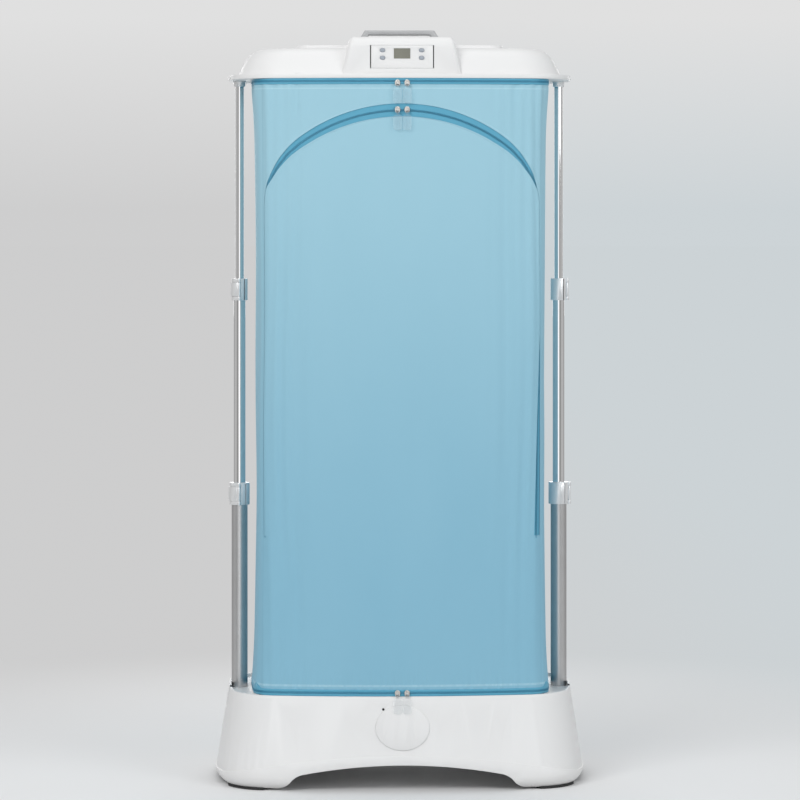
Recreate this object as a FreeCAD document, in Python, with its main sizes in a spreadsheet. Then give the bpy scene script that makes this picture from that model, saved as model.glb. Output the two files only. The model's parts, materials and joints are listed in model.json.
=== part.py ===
import FreeCAD, Part
import Sketcher
import math
import os

# Telescopic drying cabinet: a moulded base, two three-stage poles with flip-lock clamps, a top
# unit with fan, heater and controls, and a fabric chamber zipped between base and top.
# Millimetres. X to the right, Y to the back, Z up; the origin is under the middle of the base.

doc = FreeCAD.newDocument("drying_cabinet")
sheet = doc.addObject("Spreadsheet::Sheet", "Sizes")

DRIVING_SIZES = (
    # how far cutting tools stand off or run past what they cut
    ("tool_reach", 260),
    ("cut_overshoot", 1),
    # plan shared by the base rim and the top rim
    ("rim_half_width", 321),
    ("rim_half_depth", 187),
    ("front_arc_radius", 1500),
    ("side_arc_radius", 500),
    ("corner_arc_radius", 95),
    # moulded base
    ("base_rim_height", 172),
    ("sole_height", 3),
    ("sole_half_width", 348),
    ("sole_half_depth", 213),
    ("sole_edge_radius", 20),
    ("base_wall", 3.5),
    ("base_floor_top", 80),
    ("base_floor_thickness", 5),
    ("base_ledge_sink", 6),
    ("base_ring_wall", 6),
    ("pole_boss_radius", 20),
    ("foot_inner_edge", 236),
    ("foot_rear_reach", 95),
    ("end_hollow_reach", 138),
    ("foot_floor_height", 20),
    ("arch_apex_height", 49),
    ("arch_end_x", 183),
    ("arch_end_height", 31),
    ("arch_foot_radius", 37),
    ("arch_foot_angle", 52),
    ("skirt_apex_height", 65),
    ("skirt_arc_radius", 1450),
    ("skirt_step", 2.4),
    ("badge_half_width", 49.5),
    ("badge_half_height", 40.5),
    ("badge_height", 116),
    ("badge_thickness", 2.2),
    ("vent_dot_x", -35),
    ("vent_dot_height", 149),
    ("vent_dot_diameter", 4.6),
    ("vent_dot_depth", 2),
    ("pad_inset", 21),
    ("pad_width", 22),
    ("pad_corner_x", 248),
    ("pad_corner_y", 116),
    # side latches of the base
    ("latch_half_length", 46),
    ("latch_thickness", 2.4),
    ("latch_gap", 0.4),
    ("latch_bottom_height", 136.8),
    ("latch_hinge_height", 138),
    ("latch_hinge_x", 323.3),
    ("latch_pin_diameter", 1.6),
    ("latch_pin_reach", 3),
    ("latch_swing_room", 4.8),
    ("latch_hook_depth", 3.8),
    ("latch_hook_thickness", 2.5),
    # poles
    ("pole_offset", 301.5),
    ("tube_wall", 1.5),
    ("lower_tube_diameter", 30),
    ("middle_tube_diameter", 22),
    ("upper_tube_diameter", 16),
    ("lower_tube_top", 545),
    ("middle_tube_bottom", 480),
    ("middle_tube_top", 930),
    ("upper_tube_bottom", 865),
    ("upper_tube_sink", 2),
    ("tube_guide_length", 24),
    ("running_clearance", 0.05),
    ("seat_gap", 0.3),
    # flip-lock clamps
    ("collar_height", 41),
    ("collar_wall", 3.95),
    ("collar_cap", 6),
    ("collar_ring_height", 7),
    ("lever_recess", 2.6),
    ("lever_gap", 0.3),
    ("lever_proud", 0.5),
    ("lever_pin_diameter", 3),
    ("lever_pin_offset", 1.2),
    ("lever_eye_wall", 1.3),
    ("lever_lug_wall", 1.9),
    ("lever_wrap_angle", 112),
    ("lever_end_angle", 3),
    ("lever_tail_length", 7),
    ("lever_tail_proud", 2.5),
    ("collar_slit", 1.6),
    ("collar_slit_angle", 40),
    ("left_pin_azimuth", 268),
    ("right_pin_azimuth", 345),
    # top unit
    ("top_rim_bottom", 1308),
    ("top_rim_height", 8),
    ("tray_floor", 3.5),
    ("tray_pocket_half_width", 262),
    ("tray_pocket_half_depth", 150),
    ("tray_lip", 2.4),
    ("tray_lip_half_length", 44),
    ("tray_lip_height", 5),
    ("top_socket_diameter", 21),
    ("top_socket_height", 10),
    ("top_socket_lip", 2),
    ("dome_wall", 3),
    ("dome_foot_inset", 16),
    ("dome_shoulder_inset", 28),
    ("dome_shoulder_rise", 24),
    ("dome_crown_inset", 40),
    ("dome_crown_rise", 40),
    ("dome_brow_inset", 66),
    ("dome_brow_rise", 50),
    ("dome_top_inset", 128),
    ("dome_top_rise", 58),
    ("block_half_width_foot", 112),
    ("block_half_width_top", 95),
    ("block_top_rise", 69),
    ("block_corner_radius", 10),
    ("block_brow_radius", 20),
    # carrying handle
    ("handle_half_length", 77.5),
    ("handle_half_width", 15),
    ("handle_rise", 19),
    ("handle_thickness", 9),
    ("handle_end_slope", 12),
    ("handle_foot_length", 14),
    ("handle_edge_radius", 2.5),
    ("hand_recess_half_length", 59),
    ("hand_recess_half_width", 40),
    ("hand_recess_depth", 21),
    ("hand_recess_corner", 14),
    # control panel
    ("panel_half_width", 57),
    ("panel_height", 42),
    ("panel_thickness", 3.6),
    ("panel_bottom_rise", 10.5),
    ("panel_side_gap", 2),
    ("panel_edge_gap", 0.3),
    ("panel_shelf", 3),
    ("panel_frame_sink", 0.5),
    ("panel_frame_depth", 2),
    ("display_half_width", 15),
    ("display_height", 18.5),
    ("display_thickness", 1.6),
    ("display_rise", 27),
    ("button_half_width", 4.75),
    ("button_height", 6.8),
    ("button_offset_x", 36),
    ("button_rise", 26),
    ("button_pitch", 14),
    ("button_gap", 0.3),
    ("button_proud", 1.6),
    ("button_flange", 1.2),
    ("button_travel", 1),
    ("board_half_width", 50),
    ("board_height", 34),
    ("board_thickness", 1.6),
    ("board_post_diameter", 5),
    # fan, heater and outlet
    ("outlet_half_length", 70),
    ("outlet_half_width", 45),
    ("grille_flange", 6),
    ("grille_thickness", 3),
    ("grille_slot_width", 5),
    ("grille_bar_count", 13),
    ("heater_height", 22),
    ("heater_wall", 2.5),
    ("heater_fin_count", 15),
    ("heater_fin", 1.2),
    ("fan_frame_half_width", 73),
    ("fan_frame_height", 25),
    ("fan_frame_corner", 8),
    ("fan_bore_radius", 69),
    ("fan_wheel_radius", 67),
    ("fan_hub_radius", 23),
    ("fan_hub_wall", 2),
    ("fan_hub_gap", 2),
    ("fan_blade_count", 7),
    ("fan_blade_thickness", 2),
    ("fan_blade_root_pitch", 50),
    ("fan_blade_tip_pitch", 27),
    ("fan_blade_share", 0.9),
    ("fan_blade_bow", 0.16),
    ("fan_spider_thickness", 3),
    ("fan_spider_width", 6),
    ("fan_spoke_count", 4),
    ("motor_radius", 20),
    ("motor_height", 13),
    ("motor_shaft_diameter", 4),
    ("motor_shaft_length", 6),
    ("intake_slot_count", 9),
    ("intake_slot_width", 3),
    ("intake_slot_height", 24),
    ("intake_slot_pitch", 9),
    ("intake_centre_x", 170),
    ("intake_rise", 9),
    ("intake_cut_depth", 56),
    ("inlet_width", 28),
    ("inlet_height", 20),
    ("inlet_depth", 20),
    ("inlet_flange", 3),
    ("inlet_wall", 2),
    ("inlet_blade", 2),
    ("inlet_rise", 28),
    # hanger rail
    ("rail_diameter", 16),
    ("rail_half_length", 130),
    ("rail_height", 1262),
    ("bracket_width", 22),
    ("bracket_thickness", 8),
    ("bracket_foot_height", 4),
    ("bracket_foot_half_length", 16),
    ("screw_head_diameter", 7),
    ("screw_head_height", 2),
    ("screw_shank_diameter", 3),
    ("screw_shank_length", 6),
    ("screw_gap", 0.2),
    ("screw_spread", 200),
    # fabric chamber
    ("fabric_half_width", 278),
    ("fabric_half_depth", 185),
    ("fabric_corner_radius", 45),
    ("fabric_waist_draw", 9),
    ("fabric_wall", 1.4),
    ("fabric_fold_depth", 3),
    ("fabric_fold_outer_x", 212),
    ("fabric_fold_inner_x", 176),
    ("hem_height", 12),
    ("top_hem_height", 11),
    ("hem_gap", 0.3),
    ("door_half_span", 254),
    ("door_top_height", 1261),
    ("door_rise", 191),
    ("door_crown_radius", 320),
    ("door_leg_bottom", 465),
    ("door_zip_width", 22),
    ("door_zip_proud", 1),
    # zip sliders and pull tabs
    ("slider_half_width", 4.8),
    ("slider_height", 11),
    ("slider_thickness", 2.2),
    ("slider_corner_radius", 4.4),
    ("slider_spacing", 8.8),
    ("slider_ear", 1.1),
    ("slider_ear_reach", 3.4),
    ("slider_bar_diameter", 2),
    ("slider_surface_gap", 0.5),
    ("slider_eye_diameter", 3),
    ("slider_eye_depth", 1.6),
    ("slider_eye_rise", 1.6),
    ("top_slider_drop", 3),
    ("door_slider_lean", 0.025),
    ("tab_half_width", 7.8),
    ("tab_neck_half_width", 2.5),
    ("tab_length", 32),
    ("tab_thickness", 1.2),
    ("tab_corner_radius", 5),
    ("tab_shank_overlap", 1),
    ("tab_eye_wall", 1.1),
    ("bottom_tab_lean", 10),
)

for row, (name, number) in enumerate(DRIVING_SIZES, 1):
    sheet.set("A%d" % row, name)
    sheet.set("B%d" % row, str(number))
    sheet.setAlias("B%d" % row, name)
doc.recompute()


class Size:
    """A length that carries its number and the sheet formula that gives it."""

    def __init__(self, number, formula):
        self.number = number
        self.formula = formula

    @staticmethod
    def of(other):
        return other if isinstance(other, Size) else Size(float(other), repr(float(other)))

    def joined(self, sign, other, number):
        return Size(number, "(%s %s %s)" % (self.formula, sign, other.formula))

    def __add__(self, other):
        other = Size.of(other)
        return self.joined("+", other, self.number + other.number)

    def __sub__(self, other):
        other = Size.of(other)
        return self.joined("-", other, self.number - other.number)

    def __mul__(self, other):
        other = Size.of(other)
        return self.joined("*", other, self.number * other.number)

    def __truediv__(self, other):
        other = Size.of(other)
        return self.joined("/", other, self.number / other.number)

    def __radd__(self, other):
        return Size.of(other) + self

    def __rsub__(self, other):
        return Size.of(other) - self

    def __rmul__(self, other):
        return Size.of(other) * self

    def __neg__(self):
        return Size.of(0) - self

    def __float__(self):
        return self.number


class Sheet:
    """Reads the driving sizes by name, as sizes that stay bound to the sheet."""

    def __getattr__(self, name):
        return Size(float(getattr(sheet, name)), "Sizes." + name)


of = Sheet()


def mm(name):
    """One driving size as a plain number."""
    return float(getattr(sheet, name))


def vec(x, y, z):
    return FreeCAD.Vector(float(x), float(y), float(z))


# ---- makers ---------------------------------------------------------------------------------

node_names = []


def finish(piece, label):
    """Names a finished sub-part and puts it on the list of nodes."""
    piece.Label = label
    node_names.append(piece.Name)
    return piece


def bind(piece, prop, size):
    """Binds one property of an object to its sheet formula."""
    piece.setExpression(prop, Size.of(size).formula)


def place(piece, x=0, y=0, z=0):
    """Moves an object to a spot whose three distances follow the sheet."""
    for axis, distance in zip("xyz", (x, y, z)):
        bind(piece, "Placement.Base." + axis, distance)


def origin_plane(body, role):
    return [item for item in body.Origin.OriginFeatures if item.Role == role][0]


def new_sketch(body, role, lift=0):
    """An empty sketch on an origin plane of its body, raised along the plane's normal."""
    sketch = body.newObject("Sketcher::SketchObject", body.Name + "_sketch")
    sketch.AttachmentSupport = [(origin_plane(body, role), "")]
    sketch.MapMode = "FlatFace"
    bind(sketch, "AttachmentOffset.Base.z", lift)
    return sketch


def tie(sketch, kind, geometry, point, size):
    """Ties one point's distance from the sketch origin to the sheet."""
    rule = Sketcher.Constraint(kind, -1, 1, geometry, point, float(size))
    number = sketch.addConstraint(rule)
    sketch.setExpression("Constraints[%d]" % number, Size.of(size).formula)


def draw_outline(sketch, corners):
    """A closed outline of straight edges through corners given as pairs of sizes."""
    spots = [vec(x, y, 0) for x, y in corners]
    edges = []
    for number, spot in enumerate(spots):
        line = Part.LineSegment(spot, spots[(number + 1) % len(spots)])
        edges.append(sketch.addGeometry(line, False))
    for number, edge in enumerate(edges):
        following = edges[(number + 1) % len(edges)]
        sketch.addConstraint(Sketcher.Constraint("Coincident", edge, 2, following, 1))
        tie(sketch, "DistanceX", edge, 1, corners[number][0])
        tie(sketch, "DistanceY", edge, 1, corners[number][1])


def draw_circle(sketch, radius, x=0, y=0):
    """A circle with its centre and its radius tied to the sheet."""
    circle = Part.Circle(vec(x, y, 0), vec(0, 0, 1), float(radius))
    edge = sketch.addGeometry(circle, False)
    tie(sketch, "DistanceX", edge, 3, x)
    tie(sketch, "DistanceY", edge, 3, y)
    number = sketch.addConstraint(Sketcher.Constraint("Radius", edge, float(radius)))
    sketch.setExpression("Constraints[%d]" % number, Size.of(radius).formula)


def rectangle(half_width, low, high):
    """The four corners of a rectangle that is symmetrical about the vertical axis."""
    return [(-half_width, low), (half_width, low), (half_width, high), (-half_width, high)]


def add_pad(body, sketch, length, backwards=False):
    pad = body.newObject("PartDesign::Pad", body.Name + "_pad")
    pad.Profile = sketch
    bind(pad, "Length", length)
    pad.Reversed = backwards
    return pad


def add_pocket(body, sketch, length, backwards=False):
    pocket = body.newObject("PartDesign::Pocket", body.Name + "_pocket")
    pocket.Profile = sketch
    bind(pocket, "Length", length)
    pocket.Reversed = backwards
    return pocket


def turned(label, profile):
    """A body turned about the vertical axis from a profile of radii and heights."""
    body = doc.addObject("PartDesign::Body", label)
    sketch = new_sketch(body, "XZ_Plane")
    draw_outline(sketch, profile)
    turn = body.newObject("PartDesign::Revolution", body.Name + "_turn")
    turn.Profile = sketch
    turn.ReferenceAxis = (sketch, ["V_Axis"])
    turn.Angle = 360
    return body


def shaped(label, shape):
    """A free-form sub-part whose shape follows the sheet through this script's own code."""
    piece = doc.addObject("Part::Feature", label)
    piece.Shape = shape
    return finish(piece, label)


def box(low, high):
    """A box between two corners."""
    size = high - low
    return Part.makeBox(size.x, size.y, size.z, low)


def rod(radius, start, end):
    """A cylinder from one point to another."""
    along = end - start
    return Part.makeCylinder(radius, along.Length, start, along)


# ---- plan outlines --------------------------------------------------------------------------


def arc(start, middle, end):
    return Part.Arc(start, middle, end).toShape()


def corner_of(half_width, half_depth, corner, front, side):
    """Centre and touching points of the corner arc that is tangent to front and side arcs."""
    front_centre = vec(0, front - half_depth, 0)
    side_centre = vec(half_width - side, 0, 0)
    reach = side_centre - front_centre
    to_front = front - corner
    to_side = side - corner
    along = (to_front ** 2 - to_side ** 2 + reach.Length ** 2) / (2 * reach.Length)
    across = math.sqrt(to_front ** 2 - along ** 2)
    ahead = vec(reach.x, reach.y, 0) * (1 / reach.Length)
    sideways = vec(-ahead.y, ahead.x, 0)
    choices = [front_centre + ahead * along + sideways * (turn * across) for turn in (-1, 1)]
    centre = max(choices, key=lambda spot: spot.x - spot.y)
    on_front = front_centre + (centre - front_centre) * (front / to_front)
    on_side = side_centre + (centre - side_centre) * (side / to_side)
    middle = (on_front - centre) + (on_side - centre)
    on_corner = centre + middle * (corner / middle.Length)
    return on_front, on_corner, on_side


def plan_wire(half_width, half_depth, corner, height, front, side):
    """Closed plan of eight tangent arcs at one height, counter-clockwise from front left."""
    on_front, on_corner, on_side = corner_of(half_width, half_depth, corner, front, side)

    def at(x, y):
        return vec(x, y, height)

    stops = [
        (at(-on_front.x, on_front.y), at(0, -half_depth), at(on_front.x, on_front.y)),
        (at(on_front.x, on_front.y), at(on_corner.x, on_corner.y), at(on_side.x, on_side.y)),
        (at(on_side.x, on_side.y), at(half_width, 0), at(on_side.x, -on_side.y)),
        (at(on_side.x, -on_side.y), at(on_corner.x, -on_corner.y), at(on_front.x, -on_front.y)),
        (at(on_front.x, -on_front.y), at(0, half_depth), at(-on_front.x, -on_front.y)),
        (at(-on_front.x, -on_front.y), at(-on_corner.x, -on_corner.y), at(-on_side.x, -on_side.y)),
        (at(-on_side.x, -on_side.y), at(-half_width, 0), at(-on_side.x, on_side.y)),
        (at(-on_side.x, on_side.y), at(-on_corner.x, on_corner.y), at(-on_front.x, on_front.y)),
    ]
    return Part.Wire([arc(*three) for three in stops])


def rim_wire(inset, height):
    """Plan of the base and top rims, moved inwards by an inset."""
    return plan_wire(
        mm("rim_half_width") - inset,
        mm("rim_half_depth") - inset,
        mm("corner_arc_radius") - inset,
        height,
        mm("front_arc_radius") - inset,
        mm("side_arc_radius") - inset,
    )


def fabric_plan(inset, height, draw=0.0):
    """Plan of the fabric box and its zips, moved inwards and drawn in at the sides."""
    return plan_wire(
        mm("fabric_half_width") - inset - draw,
        mm("fabric_half_depth") - inset,
        mm("fabric_corner_radius") - inset,
        height,
        mm("front_arc_radius") - inset,
        mm("front_arc_radius") - inset,
    )


def prism(wire, height):
    """Upright prism on a flat closed wire."""
    return Part.Face(wire).extrude(vec(0, 0, height))


# ---- moulded base ---------------------------------------------------------------------------


def base_wire(inset, height):
    """Plan of the base's leaning wall at one height, between the rim and the sole."""
    drop = (mm("base_rim_height") - height) / (mm("base_rim_height") - mm("sole_height"))
    return plan_wire(
        mm("rim_half_width") + drop * (mm("sole_half_width") - mm("rim_half_width")) - inset,
        mm("rim_half_depth") + drop * (mm("sole_half_depth") - mm("rim_half_depth")) - inset,
        mm("corner_arc_radius") - inset,
        height,
        mm("front_arc_radius") - inset,
        mm("side_arc_radius") - inset,
    )


def base_slab(inset, low, high):
    """Solid between two heights of the base's leaning wall."""
    return Part.makeLoft([base_wire(inset, low), base_wire(inset, high)], True, True)


def edges_at(shape, height):
    """Edges that lie flat at one height."""
    flat = []
    for edge in shape.Edges:
        if abs(edge.BoundBox.ZMin - height) < 1e-4 and abs(edge.BoundBox.ZMax - height) < 1e-4:
            flat.append(edge)
    return flat


def arch_tool():
    """Prism under the base: a shallow arc that runs down to the sole in two S-curves."""
    angle = math.radians(mm("arch_foot_angle"))
    bend = mm("arch_foot_radius")
    end_x = mm("arch_end_x")
    end_z = mm("arch_end_height")
    rise = mm("arch_apex_height") - end_z
    sweep = (end_x ** 2 + rise ** 2) / (2 * rise)
    start = math.asin(end_x / sweep)
    # the upper bend turns from the arc's own slope to the S-curve's steepest slope
    upper = (end_x - bend * math.sin(start), end_z - bend * math.cos(start))
    steep = (upper[0] + bend * math.sin(angle), upper[1] + bend * math.cos(angle))
    lower = (steep[0] + bend * math.sin(angle), steep[1] + bend * math.cos(angle))
    half_upper = (start + angle) / 2
    half_lower = angle / 2
    back = mm("tool_reach")

    def at(x, z):
        return vec(x, -back, z)

    def bend_points(side):
        top = at(side * end_x, end_z)
        over = at(
            side * (upper[0] + bend * math.sin(half_upper)), upper[1] + bend * math.cos(half_upper)
        )
        knee = at(side * steep[0], steep[1])
        under = at(
            side * (lower[0] - bend * math.sin(half_lower)), lower[1] - bend * math.cos(half_lower)
        )
        toe = at(side * lower[0], lower[1] - bend)
        return top, over, knee, under, toe

    right = bend_points(1)
    left = bend_points(-1)
    below = -mm("arch_apex_height")
    floor_right = at(lower[0], below)
    floor_left = at(-lower[0], below)
    edges = [
        arc(left[0], at(0, mm("arch_apex_height")), right[0]),
        arc(right[0], right[1], right[2]),
        arc(right[2], right[3], right[4]),
        Part.makeLine(right[4], floor_right),
        Part.makeLine(floor_right, floor_left),
        Part.makeLine(floor_left, left[4]),
        arc(left[4], left[3], left[2]),
        arc(left[2], left[1], left[0]),
    ]
    return Part.Face(Part.Wire(edges)).extrude(vec(0, 2 * back, 0))


def skirt_tool():
    """Everything below the soft crease, a wide arc that is highest in the middle."""
    radius = mm("skirt_arc_radius")
    centre = mm("skirt_apex_height") - radius
    back = mm("tool_reach")
    return Part.makeCylinder(radius, 2 * back, vec(0, -back, centre), vec(0, 1, 0))


def rounded_base(inset):
    """The base's outer form with its rounded sole edge."""
    slab = base_slab(inset, mm("sole_height"), mm("base_rim_height"))
    return slab.makeFillet(mm("sole_edge_radius"), edges_at(slab, mm("sole_height")))


def latch_slab(grow, depth, low):
    """Shell segment of the base's end wall, at both ends, that a side latch fills."""
    high = mm("base_rim_height")
    outer = base_slab(-2 * mm("skirt_step"), low, high + mm("sole_height"))
    inner = base_slab(depth, low, high + mm("sole_height"))
    reach = mm("latch_half_length") + grow
    band = box(vec(-mm("sole_half_width"), -reach, low), vec(mm("sole_half_width"), reach, high))
    return outer.cut(inner).common(band)


def latch_pins(diameter, reach):
    """Stub pins at the two ends of each side latch, on its hinge axis."""
    start = mm("latch_half_length") - mm("latch_pin_reach")
    end = mm("latch_half_length") + reach
    pins = []
    for x in (-mm("latch_hinge_x"), mm("latch_hinge_x")):
        for side in (-1, 1):
            low = vec(x, side * start, mm("latch_hinge_height"))
            pins.append(rod(diameter / 2, low, vec(x, side * end, mm("latch_hinge_height"))))
    return pins


def make_base():
    rim = mm("base_rim_height")
    floor_low = mm("base_floor_top") - mm("base_floor_thickness")
    skirt = rounded_base(-mm("skirt_step")).common(skirt_tool())
    body = rounded_base(0).fuse(skirt)

    # chamber well inside the zip ring, and the sunk decks at both ends
    well = prism(fabric_plan(mm("base_ring_wall"), mm("base_floor_top")), rim)
    deck_low = rim - mm("base_ledge_sink")
    deck = prism(rim_wire(mm("base_wall"), deck_low), rim).cut(prism(fabric_plan(0, deck_low), rim))
    body = body.cut(well).cut(deck)

    # underside: open above and between the four corner feet, and up into both ends
    low = -mm("sole_height")
    wide = mm("sole_half_width")
    deep = mm("sole_half_depth")
    end_top = deck_low - mm("base_wall")
    middle = box(vec(-wide, -deep, low), vec(wide, deep, floor_low))
    for x in (-1, 1):
        for y in (-1, 1):
            near = vec(x * mm("foot_inner_edge"), y * mm("foot_rear_reach"), low)
            far = vec(x * wide, y * deep, mm("foot_floor_height"))
            foot_low = vec(min(near.x, far.x), min(near.y, far.y), low)
            foot_high = vec(max(near.x, far.x), max(near.y, far.y), far.z)
            middle = middle.cut(box(foot_low, foot_high))
    reach = mm("end_hollow_reach")
    ends = box(vec(-wide, -reach, floor_low), vec(wide, reach, end_top))
    ends = ends.cut(prism(fabric_plan(0, floor_low), rim))
    for side in (-1, 1):
        x = side * mm("pole_offset")
        ends = ends.cut(rod(mm("pole_boss_radius"), vec(x, 0, 0), vec(x, 0, 2 * rim)))
    # the end wall behind each latch stays thick
    ends = ends.cut(latch_slab(mm("pole_boss_radius"), 2 * mm("base_wall"), floor_low))
    under = base_slab(mm("base_wall"), low, end_top)
    body = body.cut(under.common(middle.fuse(ends)))

    # pole sockets, arch, side latch recesses, vent dot
    for side in (-1, 1):
        x = side * mm("pole_offset")
        radius = mm("lower_tube_diameter") / 2 + mm("running_clearance")
        body = body.cut(rod(radius, vec(x, 0, mm("base_floor_top")), vec(x, 0, 2 * rim)))
    body = body.cut(arch_tool())
    low = mm("latch_bottom_height") - mm("latch_swing_room")
    body = body.cut(latch_slab(mm("latch_gap"), mm("latch_thickness") + 2 * mm("latch_gap"), low))
    hole = mm("latch_pin_diameter") + 2 * mm("running_clearance")
    for pin in latch_pins(hole, mm("latch_pin_reach") + mm("latch_gap")):
        body = body.cut(pin)
    dot_y = -mm("rim_half_depth") - mm("vent_dot_depth")
    dot = rod(
        mm("vent_dot_diameter") / 2,
        vec(mm("vent_dot_x"), dot_y - mm("sole_edge_radius"), mm("vent_dot_height")),
        vec(mm("vent_dot_x"), dot_y + mm("vent_dot_depth"), mm("vent_dot_height")),
    )
    body = body.cut(dot)
    shaped("base_housing", body.removeSplitter())


def make_badge():
    """Plain raised oval that follows the leaning front wall."""
    shell = base_slab(-mm("badge_thickness"), mm("skirt_apex_height"), mm("base_rim_height"))
    shell = shell.cut(base_slab(0, mm("skirt_apex_height"), mm("base_rim_height")))
    front = mm("tool_reach")
    oval = Part.Ellipse(
        vec(mm("badge_half_width"), -front, mm("badge_height")),
        vec(0, -front, mm("badge_height") + mm("badge_half_height")),
        vec(0, -front, mm("badge_height")),
    )
    tool = Part.Face(Part.Wire([oval.toShape()])).extrude(vec(0, front, 0))
    shaped("base_badge", shell.common(tool))


def make_foot_pads():
    """Four black pads that follow the corners of the sole."""
    inset = mm("pad_inset")
    outer = base_wire(inset, mm("sole_height"))
    inner = base_wire(inset + mm("pad_width"), mm("sole_height"))
    ring = Part.Face(outer).cut(Part.Face(inner)).extrude(vec(0, 0, -mm("sole_height")))
    pads = []
    for x in (-1, 1):
        for y in (-1, 1):
            near = vec(x * mm("pad_corner_x"), y * mm("pad_corner_y"), 0)
            far = vec(x * mm("sole_half_width"), y * mm("sole_half_depth"), mm("sole_height"))
            low = vec(min(near.x, far.x), min(near.y, far.y), 0)
            high = vec(max(near.x, far.x), max(near.y, far.y), mm("sole_height"))
            pads += ring.common(box(low, high)).Solids
    shaped("foot_pads", Part.makeCompound(pads))


def make_latches():
    """Side latches: a flush plate in the end wall with a hook over the rim."""
    rim = mm("base_rim_height")
    wide = mm("rim_half_width")
    thick = mm("latch_thickness")
    axis_x = wide - mm("side_arc_radius")
    lean = (mm("sole_half_width") - wide) / (rim - mm("sole_height"))
    low = mm("latch_bottom_height")
    low_x = wide + lean * (rim - low)
    seat = rim + mm("seat_gap")
    top = seat + mm("latch_hook_thickness")
    hook_x = wide - mm("latch_hook_depth")
    # section of plate, neck and hook, carried round the end wall's own arc
    section = [
        vec(low_x, 0, low),
        vec(wide, 0, rim),
        vec(wide, 0, top),
        vec(hook_x, 0, top),
        vec(hook_x, 0, seat),
        vec(wide - thick, 0, seat),
        vec(wide - thick, 0, rim),
        vec(low_x - thick, 0, low),
        vec(low_x, 0, low),
    ]
    half_turn = math.degrees(math.asin(mm("latch_half_length") / (low_x - axis_x)))
    axis = vec(axis_x, 0, 0)
    face = Part.Face(Part.makePolygon(section))
    face.rotate(axis, vec(0, 0, 1), -half_turn)
    right = face.revolve(axis, vec(0, 0, 1), 2 * half_turn)
    for pin in latch_pins(mm("latch_pin_diameter"), mm("latch_pin_reach")):
        if pin.BoundBox.XMin > 0:
            right = right.fuse(pin)
    right = right.removeSplitter()
    shaped("side_latch_right", right)
    shaped("side_latch_left", right.mirror(vec(0, 0, 0), vec(1, 0, 0)))


# ---- poles ----------------------------------------------------------------------------------


def make_tube(label, side, diameter, bottom, top, guide_diameter=None):
    """One pole tube; an inner stage has a wider guide at its lower end."""
    outer = diameter / 2
    inner = diameter / 2 - of.tube_wall
    profile = [(inner, bottom), (inner, top), (outer, top)]
    if guide_diameter is None:
        profile.append((outer, bottom))
    else:
        shoulder = bottom + of.tube_guide_length
        guide = guide_diameter / 2
        profile += [(outer, shoulder), (guide, shoulder), (guide, bottom)]
    body = turned(label, profile)
    place(body, side * of.pole_offset)
    finish(body, label)


def make_poles():
    for name, side in (("left", -1), ("right", 1)):
        make_tube(
            "lower_tube_" + name,
            side,
            of.lower_tube_diameter,
            of.base_floor_top,
            of.lower_tube_top,
        )
        make_tube(
            "middle_tube_" + name,
            side,
            of.middle_tube_diameter,
            of.middle_tube_bottom,
            of.middle_tube_top,
            of.lower_tube_diameter - 2 * of.tube_wall - 2 * of.running_clearance,
        )
        make_tube(
            "upper_tube_" + name,
            side,
            of.upper_tube_diameter,
            of.upper_tube_bottom,
            of.top_rim_bottom + of.top_rim_height - of.upper_tube_sink,
            of.middle_tube_diameter - 2 * of.tube_wall - 2 * of.running_clearance,
        )


def sector(inner, outer, low, high, start, angle):
    """Part of a ring between two radii and two heights, from one azimuth through an angle."""
    face = Part.Face(
        Part.Wire(
            Part.makePolygon(
                [
                    vec(inner, 0, low),
                    vec(outer, 0, low),
                    vec(outer, 0, high),
                    vec(inner, 0, high),
                    vec(inner, 0, low),
                ]
            )
        )
    )
    face.rotate(vec(0, 0, 0), vec(0, 0, 1), start)
    return face.revolve(vec(0, 0, 0), vec(0, 0, 1), angle)


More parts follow.
